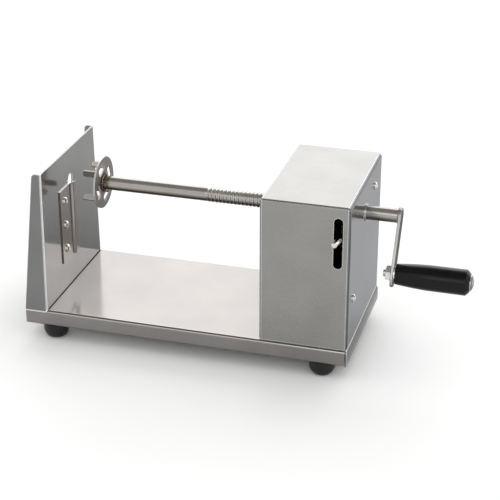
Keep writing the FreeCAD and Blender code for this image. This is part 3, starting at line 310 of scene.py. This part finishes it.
# Moulded plastic or rubber: a faint orange-peel surface of the given grain, with cloudy patches
# that vary colour and gloss a little
def mouldedPlastic(name, facts):
    material, shader = newMaterial(name)
    shader.inputs["IOR"].default_value = facts["ior"]
    place = addNode(material, "ShaderNodeTexCoord").outputs["Object"]
    peel = addNode(material, "ShaderNodeTexNoise", {
        "Scale": 1 / (facts["grain"] * mm), "Detail": 4.0}, {"Vector": place})
    cloudSize = 18 * mm
    clouds = addNode(material, "ShaderNodeTexNoise", {
        "Scale": 1 / cloudSize, "Detail": 2.0}, {"Vector": place})
    tone = addNode(material, "ShaderNodeMix", {
        "A": linear(facts["colour"]), "B": linear(facts["shade"])},
        {"Factor": clouds.outputs["Fac"]}, data_type="RGBA")
    connect(material, tone.outputs["Result"], shader.inputs["Base Color"])
    gloss = addNode(material, "ShaderNodeMapRange", {
        "From Min": 0.3, "From Max": 0.7, "To Min": facts["roughness"] - 0.04,
        "To Max": facts["roughness"] + 0.06}, {"Value": clouds.outputs["Fac"]})
    connect(material, gloss.outputs["Result"], shader.inputs["Roughness"])
    bump = addNode(material, "ShaderNodeBump", {
        "Strength": facts["bump"], "Distance": 0.05 * mm}, {"Height": peel.outputs["Fac"]})
    connect(material, bump.outputs["Normal"], shader.inputs["Normal"])
    return material


# Satin stainless sheet, brushed along X: grey, with soft reflections. The other metals start
# from it and change what differs.
# edge is the width of the painted highlight along edges, in millimetres; 0 leaves it out
satin = {
    "colour": "#949391", "shade": "#8c8b89", "roughness": 0.27, "change": 0.03, "grain": 0.6,
    "length": 14, "along": "X", "streak": 0.015, "bump": 0.02, "edge": 1.1, "glance": "#ffffff"}
diagonal = 0.7071


# The same sheet on the two end pans, brushed from front to rear, with painted light on the faces
# towards +X and painted shade on the bends
def makePanLook():
    material, shader, tone = brushedMetal("satin_stainless_pan", {
        **satin, "along": "Y", "colour": "#8b8d90", "shade": "#848689", "roughness": 0.2,
        "glance": "#d6d6d6"})
    # painted light on the faces towards +X
    tone = paintFacingLight(material, shader, tone, (1, 0, 0), (2.2, 2.2, 2.2))
    # painted shade on the bends
    bends = ((diagonal, 0, diagonal), (diagonal, -diagonal, 0), (diagonal, diagonal, 0))
    for bend in bends:
        tone = paintFacingLight(material, shader, tone, bend, (0.4, 0.4, 0.4), spread=(0.82, 0.94))
    return material


# Bright rolled stainless on the upright plate: a half mirror that shows the tray and the prongs
def makePlateLook():
    material, shader, tone = brushedMetal("bright_stainless_plate", {
        **satin, "along": "Z", "colour": "#7b7b7b", "shade": "#757575", "roughness": 0.1,
        "change": 0.02, "glance": "#dcdcdc"})
    # painted light on the faces towards +X, and a painted highlight on the front bend
    tone = paintFacingLight(material, shader, tone, (1, 0, 0), (2.78, 2.76, 2.73), 0.9)
    bend = (diagonal, -diagonal, 0)  # the front bend catches the light
    paintFacingLight(material, shader, tone, bend, (2.7, 2.7, 2.7), 0.3, (0.86, 0.96))
    return material


# Ground stainless blade, with painted shade on its faces towards the front (-Y)
def makeBladeLook():
    material, shader, tone = brushedMetal("ground_stainless_blade", {
        **satin, "along": "Y", "colour": "#bbb4b0", "shade": "#b1aaa6", "roughness": 0.2,
        "grain": 0.5, "length": 12, "edge": 0.5})
    paintFacingLight(material, shader, tone, (0, -1, 0), (0.25, 0.23, 0.21))
    return material


# Bright rolled stainless on the tray: a half mirror on the deck and the end lip, with painted light
# on the top faces and the faces towards +X, a painted shadow line and a painted highlight line
# along the front fold, and painted shade lines in the corner slit and under the plate
def makeTrayLook():
    tray = {"foldIn": 1.15, "foldDown": 0.2, "slitIn": 1.4, "plateIn": 22}
    material, shader, tone = brushedMetal("bright_stainless_tray", {
        **satin, "colour": "#8b8886", "shade": "#848180", "roughness": 0.14, "change": 0.02,
        "glance": "#d0d0d0"})
    # painted light on the top faces and on the faces towards +X
    tone = paintFacingLight(material, shader, tone, (0, 0, 1), (1.7, 1.69, 1.67), 0.5)
    tone = paintFacingLight(material, shader, tone, (1, 0, 0), (1.2, 1.24, 1.29), 0.75)
    # a painted shadow line along the front fold, with a painted highlight line beside it
    foldAt = (0, trayLow[1] + tray["foldIn"], trayHigh[2] - tray["foldDown"])
    tone = tint(material, shader, tone, distanceFrom(material, foldAt, (0, 1, 1)), [
        (0, "#4b423c", 0.85), (0.5, "#4b423c", 0.8), (0.8, "#5b524c", 0.0),
        (1.1, "#d9cfc8", 0.6), (1.6, "#d9cfc8", 0.5), (2.0, "#d9cfc8", 0.0),
        (4.0, "#d9cfc8", 0.0)])
    # painted shade in the corner slit
    slitAt = (trayHigh[0] - tray["slitIn"], trayLow[1], 0)
    tone = tint(material, shader, tone, distanceFrom(material, slitAt, (1, 1, 0)), [
        (0, "#2e2723", 0.9), (0.5, "#2e2723", 0.85), (0.9, "#4b423c", 0.0),
        (3.0, "#4b423c", 0.0)])
    # painted shade in the gap under the plate
    seamAt = (trayLow[0] + tray["plateIn"], 0, trayHigh[2])
    tint(material, shader, tone, distanceFrom(material, seamAt, (1, 0, 1)), [
        (0, "#2e2723", 0.9), (0.9, "#352d28", 0.85), (1.4, "#6a615a", 0.1),
        (4.0, "#6a615a", 0.0)])
    return material


# Turned tube, with painted shade on its underside and a brown heat tint beside the weld
def makeTubeLook():
    material, shader, tone = brushedMetal("turned_stainless_tube", {
        **satin, "colour": "#aca8a3", "shade": "#9f9a94", "roughness": 0.18, "change": 0.05,
        "length": 30, "streak": 0.08, "bump": 0.08})
    tone = paintFacingLight(material, shader, tone, (0, 0, -1), (0.4, 0.38, 0.36),
                        spread=(-0.12, 0.3))
    away = distanceFrom(material, (weldX, axisY, axisZ), (1, 0, 0))
    tint(material, shader, tone, away, [
        (0, "#4a3528", 0.85), (2.2, "#6d4b35", 0.7), (4.5, "#8f7355", 0.35),
        (9, "#8f8170", 0.0), (14, "#8f8170", 0.0)])
    return material


# Satin disc: its prongs have painted shade on their sides and painted light on top, and the weld
# has left a brown heat tint round the tube
def makeDiscLook():
    disc = {"clear": 1.6, "fade": 2}  # the plain face, and the length over which the dark ends
    material, shader, tone = brushedMetal("satin_stainless_disc", {
        **satin, "along": "Y", "colour": "#aeaaa7", "shade": "#a5a19e", "roughness": 0.48,
        "grain": 0.5, "length": 10, "glance": "#b4b4b4"})
    prong = discHigh[0] - discLow[0] - disc["clear"]
    # painted shade over the prongs
    away = distanceFrom(material, (discLow[0], 0, 0), (1, 0, 0))
    tone = tint(material, shader, tone, away, [
        (0, "#3a3532", 0.5), (prong - disc["fade"], "#3a3532", 0.5), (prong, "#3a3532", 0.0)])
    # painted light on the faces that look up
    tone = paintFacingLight(material, shader, tone, (0, 0, 1), (2.4, 2.3, 2.2), spread=(0.5, 0.9))
    away = distanceFrom(material, (weldX, axisY, axisZ), (0, 1, 1))
    tint(material, shader, tone, away, [
        (0, "#33231a", 0.9), (7.4, "#4a3629", 0.75), (9, "#86705c", 0.3),
        (11.5, "#8d8072", 0.1), (16, "#8d8072", 0.0)])
    return material


# Plated bolt head, with painted shade over the cross at its centre and in a ring near its rim
def makeBoltLook():
    material, shader, tone = brushedMetal("plated_steel_bolt", {
        **satin, "colour": "#b4b1ac", "shade": "#a8a5a0", "roughness": 0.12, "grain": 0.4,
        "length": 2, "streak": 0.05, "bump": 0.05})
    low, high = inMm(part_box("grip_bolt"))
    tint(material, shader, tone, distanceFrom(material, (low + high) / 2, (0, 1, 1)), [
        (0, "#1c1b1a", 0.85), (1.5, "#24221f", 0.7), (2.2, "#24221f", 0.0),
        (5.0, "#24221f", 0.0), (5.8, "#24221f", 0.75), (6.6, "#24221f", 0.3),
        (8.0, "#24221f", 0.3)])
    return material


looks = {
    "cover": brushedMetal("satin_stainless_cover", satin)[0],
    "pan": makePanLook(),
    "plate": makePlateLook(),
    "blade": makeBladeLook(),
    "tray": makeTrayLook(),
    "tube": makeTubeLook(),
    "disc": makeDiscLook(),
    "bolt": makeBoltLook(),
    # polished stainless screws, nuts and pins: small sharp glints
    "fastener": brushedMetal("polished_stainless_fastener", {
        **satin, "colour": "#dedad5", "shade": "#d2cec9", "roughness": 0.1, "grain": 0.4,
        "length": 2, "streak": 0.05, "bump": 0.05})[0],
    # satin stainless strip, brushed along its length
    "crank": brushedMetal("satin_stainless_crank", {
        **satin, "along": "Z", "colour": "#a9a7a4", "shade": "#9e9c99", "roughness": 0.2,
        "edge": 0.4, "glance": "#9a9a9a"})[0],
    # dull sheet inside the housing, painted dark for the shade in there
    "lever": brushedMetal("dull_steel_lever_painted_shade", {
        **satin, "along": "Y", "colour": "#4a4846", "shade": "#3c3a38", "roughness": 0.5,
        "edge": 0})[0],
    # drawn wire: grey, with glints along it
    "spring": brushedMetal("spring_steel", {
        **satin, "colour": "#a8a59f", "shade": "#8d8a85", "roughness": 0.25, "grain": 0.3,
        "length": 3})[0],
    # turned stainless: bright, with fine turning marks
    "bush": brushedMetal("turned_stainless_bush", {
        **satin, "colour": "#cdc8c2", "shade": "#bcb6af", "roughness": 0.18, "length": 10,
        "streak": 0.08})[0],
    # machined bronze: warm yellow, with fine cutter marks
    "bronze": brushedMetal("machined_bronze", {
        **satin, "along": "Y", "colour": "#b58f58", "shade": "#a37d49", "roughness": 0.25,
        "grain": 0.3, "length": 6})[0],
    # weld bead: rippled metal, brown and blue-black with heat
    "weld": brushedMetal("heat_tinted_weld_bead", {
        **satin, "colour": "#6b5546", "shade": "#2f2622", "roughness": 0.28, "change": 0.08,
        "grain": 0.9, "length": 1.5, "streak": 0.35, "bump": 0.3})[0],
    # moulded and buffed phenolic: deep black with sharp highlights
    "grip": mouldedPlastic("glossy_black_phenolic", {
        "colour": "#050506", "shade": "#080809", "roughness": 0.15, "grain": 0.8, "bump": 0.05,
        "ior": 1.3}),
    # moulded rubber: soft dark grey sheen
    "rubber": mouldedPlastic("moulded_black_rubber", {
        "colour": "#0e0e0e", "shade": "#141414", "roughness": 0.38, "grain": 0.5, "bump": 0.25,
        "ior": 1.4}),
    # machined nylon: matt off-white
    "nylon": mouldedPlastic("machined_white_nylon", {
        "colour": "#dddcd4", "shade": "#d2d1c8", "roughness": 0.45, "grain": 0.6, "bump": 0.1,
        "ior": 1.53})}

nodeLooks = {
    "tray": "tray", "end_bracket": "plate", "blade": "blade", "housing_cover": "cover",
    "side_panel": "pan", "left_wall": "pan", "holder_disc": "disc", "guide_bush": "bush",
    "grip_sleeve": "tube", "wall_bush": "nylon", "half_nut": "bronze", "lever_plate": "lever",
    "crank_arm": "crank", "feet": "rubber", "grip": "grip", "shaft_tube": "tube",
    "disc_weld": "weld", "arm_weld": "weld", "return_spring": "spring"}
for name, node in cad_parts.items():
    node.data.materials.clear()
    node.data.materials.append(looks[nodeLooks.get(name, "fastener")])
print("materials: done")


# Puts a finished piece in the place of CAD nodes, on their body, with their finish
def standsFor(item, look, body, *nodes):
    item.data.materials.append(looks[look])
    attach(item, body)
    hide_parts(*nodes)


drive = {
    "tube": 6.5, "core": 6.1, "crest": 6.9, "bore": 3.25, "pitch": 3.6, "threadEnd": 4.5,
    "threadLength": 146, "base": 1.25, "top": 0.45, "step": 0.3, "bevel": 0.4, "gap": 0.1,
    "fade": 3, "shoulder": 2, "sides": 64, "firstRing": 3, "boreRing": 5}


# The rolled thread: radius = core + (crest - core) * s, where s rises smoothly from 0 at base to 1
# at top, both measured along X from the ridge, and the ridge moves one pitch a turn. Where the
# thread begins and ends, it fades into a shoulder of the tube's full size.
def makeTube():
    tube, core, bore, bevel = drive["tube"], drive["core"], drive["bore"], drive["bevel"]
    length = tubeHigh[0] - tubeLow[0]
    end = trayHigh[0] - drive["threadEnd"] - tubeLow[0]
    start = end - drive["threadLength"]
    thread = np.linspace(start, end, int(drive["threadLength"] / drive["step"]))
    outline = [(0, bore + bevel), (0, tube - bevel), (bevel, tube)]
    outline += [(x, tube) for x in np.linspace(drive["firstRing"], start - drive["gap"], 20)]
    outline += [(x, core) for x in thread]
    outline += [(x, tube) for x in np.linspace(end + drive["gap"], length - bevel, 6)]
    outline += [(length, tube - bevel), (length, bore + bevel), (length - bevel, bore)]
    inner = np.linspace(length - drive["boreRing"], drive["boreRing"], 12)
    outline += [(x, bore) for x in inner] + [(bevel, bore)]

    def ridge(x, turn, radius):
        inside = np.abs(radius - core) < 1e-6
        phase = (x - start - drive["base"]) / drive["pitch"] - (turn / (2 * math.pi) - 0.25)
        away = np.abs(phase - np.round(phase)) * drive["pitch"]
        rise = smooth((drive["base"] - away) / (drive["base"] - drive["top"]))
        fade = smooth((x - start) / drive["fade"]) * smooth((end - x) / drive["fade"])
        level = smooth((x - start) / drive["shoulder"]) * smooth((end - x) / drive["shoulder"])
        height = (drive["crest"] - core) * rise * fade
        return np.where(inside, np.maximum(height, (tube - core) * (1 - level)), 0)

    points = turnedPoints(outline, (tubeLow[0], axisY, axisZ), drive["sides"], ridge)
    standsFor(surfaceObject("drive_tube", [points], True), "tube", "shaft", "shaft_tube")


# Weld bead: a part-round ring with fine even ripples and four tacks, where
# size = bead * ripple + tack * cos(2 * (turn - first))^4 round the tube, and the section is a part
# of a circle of radius bulge * size whose centre is size * (along, out) from the tube's corner
def makeWelds():
    beads = {
        "disc_weld_bead": {
            "node": "disc_weld", "side": 1, "x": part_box("disc_weld")[0][0] / mm, "size": 1.05,
            "tack": 1.15, "first": math.radians(165)},
        "arm_weld_bead": {
            "node": "arm_weld", "side": -1, "x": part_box("arm_weld")[1][0] / mm, "size": 0.9,
            "tack": 0.2, "first": math.radians(40)}}
    wave = {"ripples": 26, "ripple": 0.1, "swells": 7, "swell": 0.06, "sides": 144}
    ring = {"bulge": 0.62, "along": 0.4, "out": 0.5}
    around = np.arange(wave["sides"]) * 2 * math.pi / wave["sides"]
    section = np.linspace(-0.25, 1.25, 14) * math.pi
    fold, turn = np.meshgrid(section, around, indexing="ij")
    ripple = 1 + wave["ripple"] * np.cos(wave["ripples"] * turn)
    ripple = ripple + wave["swell"] * np.sin(wave["swells"] * turn)
    for name, facts in beads.items():
        tack = np.cos(2 * (turn - facts["first"])) ** 4
        size = facts["size"] * ripple + facts["tack"] * tack
        radius = drive["tube"] + size * (ring["out"] + ring["bulge"] * np.sin(fold))
        x = size * (ring["along"] + ring["bulge"] * np.cos(fold))
        x = facts["x"] + facts["side"] * x
        y, z = axisY + radius * np.cos(turn), axisZ + radius * np.sin(turn)
        points = np.stack([x, y, z], axis=-1)
        standsFor(surfaceObject(name, [points], True), "weld", "shaft", facts["node"])


# Blade: a flat sheet whose last part steps up and thins to an edge, where
# lift = land * smooth(share of the step) + the rest of the rise over the ground part
def makeBlade():
    low, high = inMm(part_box("blade"))
    # the step's ends are measured back from the edge
    blade = {"sheet": 1.2, "stepFrom": 9.6, "stepTo": 6.8, "land": 2.35, "edge": 0.06}
    stepFrom, stepTo, land = blade["stepFrom"], blade["stepTo"], blade["land"]
    back = np.concatenate([
        np.linspace(high[1] - low[1], stepFrom + 0.4, 14), np.linspace(stepFrom, stepTo, 24),
        np.linspace(stepTo - 0.3, 0, 14)])
    ground = np.clip(1 - back / stepTo, 0, 1)
    lift = land * smooth((stepFrom - back) / (stepFrom - stepTo))
    lift = lift + (high[0] - low[0] - land - blade["edge"]) * ground
    sheet = blade["sheet"] + (blade["edge"] - blade["sheet"]) * ground
    y = high[1] - back
    around = np.concatenate([y, y[::-1]])
    skin = low[0] + np.concatenate([lift + sheet, lift[::-1]])
    middle = low[0] + np.concatenate([lift + sheet / 2, (lift + sheet / 2)[::-1]])
    lines = [low[2], low[2], *np.linspace(low[2] + 0.4, high[2] - 0.4, 40), high[2], high[2]]
    rows = [np.stack([middle if n in (0, len(lines) - 1) else skin, around,
                      np.full_like(around, z)], axis=-1) for n, z in enumerate(lines)]
    standsFor(surfaceObject("stepped_blade", [np.stack(rows)]), "blade", "root", "blade")


# Turned handle: with s the share of the swell's length,
# radius = neck + (belly - neck) * (1 - (1 - s)^1.5), then straight to a cone with rounded corners.
# The small numbers round off corners.
def makeGrip():
    low, high = inMm(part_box("grip"))
    grip = {
        "neck": 9.3, "belly": 11.55, "end": 11.7, "bore": 4.7, "recess": 1.0, "head": 7.5,
        "chamfer": 3.1, "swell": 0.47, "mouth": 8.5, "sides": 96}
    rounding = ((-0.2, 0.06), (0.1, 0.22), (0.5, 0.56))  # along and inwards, at the cone's foot
    neck, belly, end, mouth = grip["neck"], grip["belly"], grip["end"], grip["mouth"]
    head, bore, length = grip["head"], grip["bore"], high[0] - low[0]
    swellEnd, corner = grip["swell"] * length, length - grip["chamfer"]
    outline = [(0, bore), (0, neck - 0.5), (0.15, neck - 0.15)]
    outline += [(0.5 * (s == 0) + s * swellEnd, neck + (belly - neck) * (1 - (1 - s) ** 1.5))
                for s in np.linspace(0, 1, 30)]
    outline += [(swellEnd + part * (corner - 0.6 - swellEnd), belly + (end - belly) * part)
                for part in np.linspace(0, 1, 10)[1:]]
    outline += [(corner + along, end - inward) for along, inward in rounding]
    along, inward = rounding[-1]
    outline += [(corner + along + part * (grip["chamfer"] - 0.9),
                 end - inward - part * (end - 0.86 - mouth)) for part in np.linspace(0, 1, 6)[1:]]
    outline += [(length - 0.12, mouth + 0.06), (length, head + 0.5), (length - 0.3, head),
                (length - grip["recess"], head), (length - grip["recess"], bore)]
    centre = (low[0], (low[1] + high[1]) / 2, (low[2] + high[2]) / 2)
    points = turnedPoints(outline, centre, grip["sides"])
    standsFor(surfaceObject("crank_grip", [points], True), "grip", "grip_body", "grip")


# Rubber foot: a bowl. With t from 0 to a quarter turn, radius = tread + (half - tread) * sin(t)
# at the height's share widestAt * (1 - cos(t))^0.9
def makeFeet():
    low, high = inMm(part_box("feet"))
    foot = {
        "half": 12.0, "tread": 6.5, "hole": 2.2, "recess": 4.8, "floor": 9.0, "widestAt": 0.62,
        "edge": 0.25, "rim": 0.5, "sides": 64}
    half, tread, height = foot["half"], foot["tread"], high[2] - low[2]
    turn = np.linspace(0, 1, 14)[1:] * math.pi / 2
    outline = [(foot["edge"], foot["recess"]), (0, foot["recess"] + foot["edge"]), (0, tread)]
    outline += [(height * foot["widestAt"] * (1 - math.cos(angle)) ** 0.9,
                 tread + (half - tread) * math.sin(angle)) for angle in turn]
    outline += [(height - foot["rim"], half), (height, half - foot["rim"]),
                (height, foot["hole"]), (foot["floor"], foot["hole"]),
                (foot["floor"], foot["recess"]), outline[0]]
    rings = turnedPoints(outline, (0, 0, 0), foot["sides"])
    feet = [np.stack([x + rings[..., 2], y + rings[..., 1], rings[..., 0]], axis=-1)
            for x in (low[0] + half, high[0] - half) for y in (low[1] + half, high[1] - half)]
    standsFor(surfaceObject("rubber_feet", feet), "rubber", "root", "feet")


# Round screw head: height falls with a power of the radius, less a cross of two V grooves whose
# depth falls off to nothing at the groove's edge and end
def screwPoints(place, axis, facts):
    # reach and wide are shares of the head's width, deep of its height, fade of the reach, and
    # within of the head's radius
    cross = {"reach": 0.27, "wide": 0.075, "deep": 0.3, "fade": 0.5, "within": 0.8}
    dome = {"drop": 0.62, "power": 2.4, "sides": 72}
    share = np.concatenate([np.linspace(0, 1, 26), [1.0]])
    turn = np.arange(dome["sides"]) * 2 * math.pi / dome["sides"]
    part, angle = np.meshgrid(share, turn, indexing="ij")
    radius = part * facts["head"] / 2
    height = facts["height"] * (1 - dome["drop"] * part ** dome["power"])
    height[-1] = 0
    a, b = radius * np.cos(angle + facts["turn"]), radius * np.sin(angle + facts["turn"])
    reach, wide = facts["head"] * cross["reach"], facts["head"] * cross["wide"]
    for across, along in ((a, b), (b, a)):
        groove = np.clip(1 - np.abs(across) / wide, 0, 1)
        groove = groove * smooth((reach - np.abs(along)) / (reach * cross["fade"]))
        height = height - facts["height"] * cross["deep"] * groove * (part < cross["within"])
    head = np.stack([height, radius * np.cos(angle), radius * np.sin(angle)], axis=-1)
    shank, length, bevel = facts["shank"] / 2, facts["length"], 0.4
    steps = [(0, shank), (bevel - length, shank), (-length, shank - bevel), (-length, 0)]
    rod = turnedPoints(steps, (0, 0, 0), dome["sides"])
    return aim(np.concatenate([head, rod]), place, axis)


# Hexagon nut: radius is the flat's distance over the cosine of the angle from the flat, but not
# past a cone at each end
def nutPoints(place, axis, facts):
    cone = {"start": 0.97, "slope": 1.7, "sides": 96}
    flat, high = facts["flats"] / 2, facts["height"]
    along = [0, 0, 0.3, 0.6, 1.0, high / 2, high - 1.0, high - 0.6, high - 0.3, high, high]
    turn = np.arange(cone["sides"]) * 2 * math.pi / cone["sides"]
    x, angle = np.meshgrid(np.array(along), turn, indexing="ij")
    hexagon = flat / np.cos((angle + math.pi / 6) % (math.pi / 3) - math.pi / 6)
    taper = flat * cone["start"] + np.minimum(x, high - x) * cone["slope"]
    radius = np.minimum(hexagon, taper)
    radius[0] = radius[-1] = facts["hole"]
    points = np.stack([x, radius * np.cos(angle), radius * np.sin(angle)], axis=-1)
    return aim(np.concatenate([points, points[:1]]), place, axis)


# Turns points made along +X so that they run along another axis, and puts them in place
def aim(points, place, axis):
    x, y, z = points[..., 0], points[..., 1], points[..., 2]
    turned = {"+X": (x, y, z), "-Z": (z, y, -x)}[axis]
    return np.stack(turned, axis=-1) + np.array(place)


def makeScrews():
    screw = {"head": 7.6, "height": 2.6, "shank": 3.9}
    half, height = screw["head"] / 2, screw["height"]

    low, high = inMm(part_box("blade_screws"))
    y = (low[1] + high[1]) / 2
    places = [(high[0] - height, y, z) for z in np.linspace(low[2] + half, high[2] - half, 3)]
    parts = [screwPoints(place, "+X", {**screw, "length": 6.9, "turn": 0.4 + 0.7 * n})
             for n, place in enumerate(places)]
    standsFor(surfaceObject("blade_screw_heads", parts), "fastener", "root", "blade_screws")

    low, high = inMm(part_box("panel_screws"))
    places = [(high[0] - height, low[1] + half, low[2] + half),
              (high[0] - height, high[1] - half, high[2] - half)]
    parts = [screwPoints(place, "+X", {**screw, "length": 6.7, "turn": 0.2 + 0.9 * n})
             for n, place in enumerate(places)]
    standsFor(surfaceObject("panel_screw_heads", parts), "fastener", "root", "panel_screws")

    low, high = inMm(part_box("grip_bolt"))
    bolt = {"head": 14.6, "height": 4.2, "shank": 6.9, "turn": 0.5}
    bolt["length"] = high[0] - low[0] - bolt["height"]
    place = (high[0] - bolt["height"], (low[1] + high[1]) / 2, (low[2] + high[2]) / 2)
    parts = [screwPoints(place, "+X", bolt)]
    standsFor(surfaceObject("grip_bolt_rod", parts), "bolt", "shaft", "grip_bolt")

    for node, turn in (("housing_screws", 0.3), ("foot_screws", 0.8)):
        low, high = inMm(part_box(node))
        length = high[2] - low[2] - height
        parts = [screwPoints((x, y, low[2] + height), "-Z",
                             {**screw, "length": length, "turn": turn + x})
                 for x in (low[0] + half, high[0] - half)
                 for y in (low[1] + half, high[1] - half)]
        standsFor(surfaceObject(node + "_round_head", parts), "fastener", "root", node)


def makeNuts():
    nut = {"flats": 7.0, "height": 3.2, "hole": 2.05}
    half = nut["flats"] / 2
    low, high = inMm(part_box("blade_nuts"))
    y = (low[1] + high[1]) / 2
    parts = [nutPoints((low[0], y, z), "+X", nut)
             for z in np.linspace(low[2] + half, high[2] - half, 3)]
    standsFor(surfaceObject("blade_hex_nuts", parts), "fastener", "root", "blade_nuts")

    low, high = inMm(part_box("grip_nut"))
    place = (low[0], (low[1] + high[1]) / 2, (low[2] + high[2]) / 2)
    nut = {"flats": 13.0, "height": high[0] - low[0], "hole": 3.55}
    parts = [nutPoints(place, "+X", nut)]
    standsFor(surfaceObject("grip_hex_nut", parts), "fastener", "shaft", "grip_nut")


# Coil spring: the path turns once a pitch at the coil's radius; each end runs into a wire eye
def makeSpring():
    low, high = inMm(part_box("return_spring"))
    spring = {
        "wire": 0.45, "radius": 3.05, "turns": 34, "eye": 2.9, "lowerNeck": 4.6,
        "upperNeck": 1.5, "steps": 28}
    radius, eye = spring["radius"], spring["eye"]
    x, y = (low[0] + high[0]) / 2, (low[1] + high[1]) / 2
    bottom, top = low[2] + radius + spring["wire"], high[2] - spring["wire"]
    start, end = bottom + spring["lowerNeck"], top - 2 * eye - spring["upperNeck"]
    turn = np.linspace(0, 2, 50) * math.pi
    lower = np.stack([0 * turn, radius * np.cos(turn), radius * np.sin(turn)], axis=-1)
    centre = top - eye - bottom
    upper = np.stack([eye * np.cos(turn), 0 * turn, centre + eye * np.sin(turn)], axis=-1)
    turn = np.linspace(0, spring["turns"] * 2 * math.pi, spring["turns"] * spring["steps"])
    rise = start - bottom + (end - start) * turn / turn[-1]
    coil = np.stack([radius * np.sin(turn), radius * np.cos(turn), rise], axis=-1)
    bridge = np.linspace(0, 1, 8)[1:-1, None]
    path = np.concatenate([
        lower, lower[-1] + (coil[0] - lower[-1]) * bridge,
        coil, coil[-1] + (upper[0] - coil[-1]) * bridge, upper])
    wire = wirePoints(path + [x, y, bottom], spring["wire"])
    item = surfaceObject("coil_spring", [wire], sharpAngle=60)
    item.data.materials.append(looks["spring"])
    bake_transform(item)
    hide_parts("return_spring")


makeTube()
makeWelds()
makeBlade()
makeGrip()
makeFeet()
print("tube, welds, blade, grip and feet: done")
makeScrews()
makeNuts()
makeSpring()
print("screws, nuts and spring: done")


# A flat sheet of the stage, from corner to corner in metres, at one height
def stageSheet(name, x, y, high):
    mesh = bpy.data.meshes.new(name)
    corners = [(x[0], y[0], high), (x[1], y[0], high), (x[1], y[1], high), (x[0], y[1], high)]
    mesh.from_pydata(corners, [], [(0, 1, 2, 3)])
    item = bpy.data.objects.new(name, mesh)
    bpy.context.collection.objects.link(item)
    return item


# A pale, matt table, wider than any view
def makeTable():
    span = (-4.0, 4.0)
    table = stageSheet("table", span, span, 0)
    material, shader = newMaterial("pale_table")
    shader.inputs["Base Color"].default_value = linear("#f7f7f6")
    shader.inputs["Roughness"].default_value = 0.9
    shader.inputs["Specular IOR Level"].default_value = 0.1
    table.data.materials.append(material)
    table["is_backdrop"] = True


# Grey cards that only reflections see, as a studio's dark surroundings: one overhead gives round
# metal its dark bands, and two on the ground are painted shade, a darker floor that the plate and
# the side panel mirror. The reflectance of each goes from near to far with the distance from one
# line along X: the ground behind the machine is darkest in its shade. Places are in metres.
def makeCards():
    cards = {
        "overhead_card": {
            "x": (-1.8, 1.8), "y": (-1.15, 0.8), "high": 1.55, "near": 0.262251, "far": 0.381125},
        "ground_card": {
            "x": (-0.3, 0.1), "y": (0.085, 0.6), "high": 0.001, "near": 0.187821, "far": 0.411572},
        "side_card": {
            "x": (0.11, 0.4), "y": (-0.08, 0.6), "high": 0.001, "near": 0.603827, "far": 0.57224}}
    shade = {"at": 110, "reach": 250}  # the line's Y and how far the change goes, in millimetres
    for name, facts in cards.items():
        item = stageSheet(name, facts["x"], facts["y"], facts["high"])
        material, shader = newMaterial(name + "_paper")
        shader.inputs["Roughness"].default_value = 1.0
        away = distanceFrom(material, (0, shade["at"], 0), (0, 1, 0))
        share = addNode(material, "ShaderNodeMath", {1: shade["reach"]}, {0: away},
                        operation="DIVIDE", use_clamp=True)
        paper = addNode(material, "ShaderNodeMix", {
            "A": (facts["near"],) * 3 + (1.0,), "B": (facts["far"],) * 3 + (1.0,)},
            {"Factor": share.outputs[0]}, data_type="RGBA")
        connect(material, paper.outputs["Result"], shader.inputs["Base Color"])
        item.data.materials.append(material)
        item.visible_camera = item.visible_diffuse = item.visible_shadow = False
        item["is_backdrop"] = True


# A white room: full white where the camera, a mirror or glass looks, a little less as light
def makeRoom():
    room = bpy.data.worlds.new("white_room")
    bpy.context.scene.world = room
    room.use_nodes = True
    back = room.node_tree.nodes["Background"]
    paths = addNode(room, "ShaderNodeLightPath")
    seen = addNode(room, "ShaderNodeMath", {}, {
        0: paths.outputs["Is Camera Ray"], 1: paths.outputs["Is Glossy Ray"]},
        operation="MAXIMUM")
    seen = addNode(room, "ShaderNodeMath", {}, {
        0: seen.outputs[0], 1: paths.outputs["Is Transmission Ray"]}, operation="MAXIMUM")
    level = addNode(room, "ShaderNodeMapRange", {"To Min": 0.95, "To Max": 1.0},
                    {"Value": seen.outputs[0]})
    back.inputs["Color"].default_value = (1, 1, 1, 1)
    connect(room, level.outputs["Result"], back.inputs["Strength"])


# A wide soft light behind and above, and a weak one in front
def makeLights():
    lights = {
        "rear_softbox": {"place": (0.1, 3.2, 1.95), "power": 90, "size": (7.0, 2.6)},
        "front_softbox": {"place": (0.6, -2.6, 1.5), "power": 8, "size": (2.4, 1.2)}}
    for name, facts in lights.items():
        lamp = bpy.data.lights.new(name, "AREA")
        lamp.energy = facts["power"]
        lamp.shape = "RECTANGLE"
        lamp.size, lamp.size_y = facts["size"]
        item = bpy.data.objects.new(name, lamp)
        item.location = facts["place"]
        item.rotation_euler = lookAt(facts["place"], (0, 0, 0.08))
        bpy.context.collection.objects.link(item)


def lookAt(place, focus):
    return (Vector(focus) - Vector(place)).to_track_quat("-Z", "Y").to_euler()


# The focal length is given in pixels of a picture of the given width
def addCamera():
    view = {
        "place": (0.33414, -1.18940, 0.68144), "focus": (-0.00039, -0.01492, 0.0955),
        "focal": 1478.8, "width": 500}
    data = bpy.data.cameras.new("product_camera")
    data.sensor_width = 36.0
    data.lens = view["focal"] / view["width"] * data.sensor_width
    data.clip_start = 0.05
    camera = bpy.data.objects.new("product_camera", data)
    camera.location = view["place"]
    camera.rotation_euler = lookAt(view["place"], view["focus"])
    bpy.context.collection.objects.link(camera)
    bpy.context.scene.camera = camera


makeTable()
makeCards()
makeRoom()
makeLights()
addCamera()
bpy.context.scene.view_settings.view_transform = "Standard"
print("stage: done")

keepSize("finished", sizes)
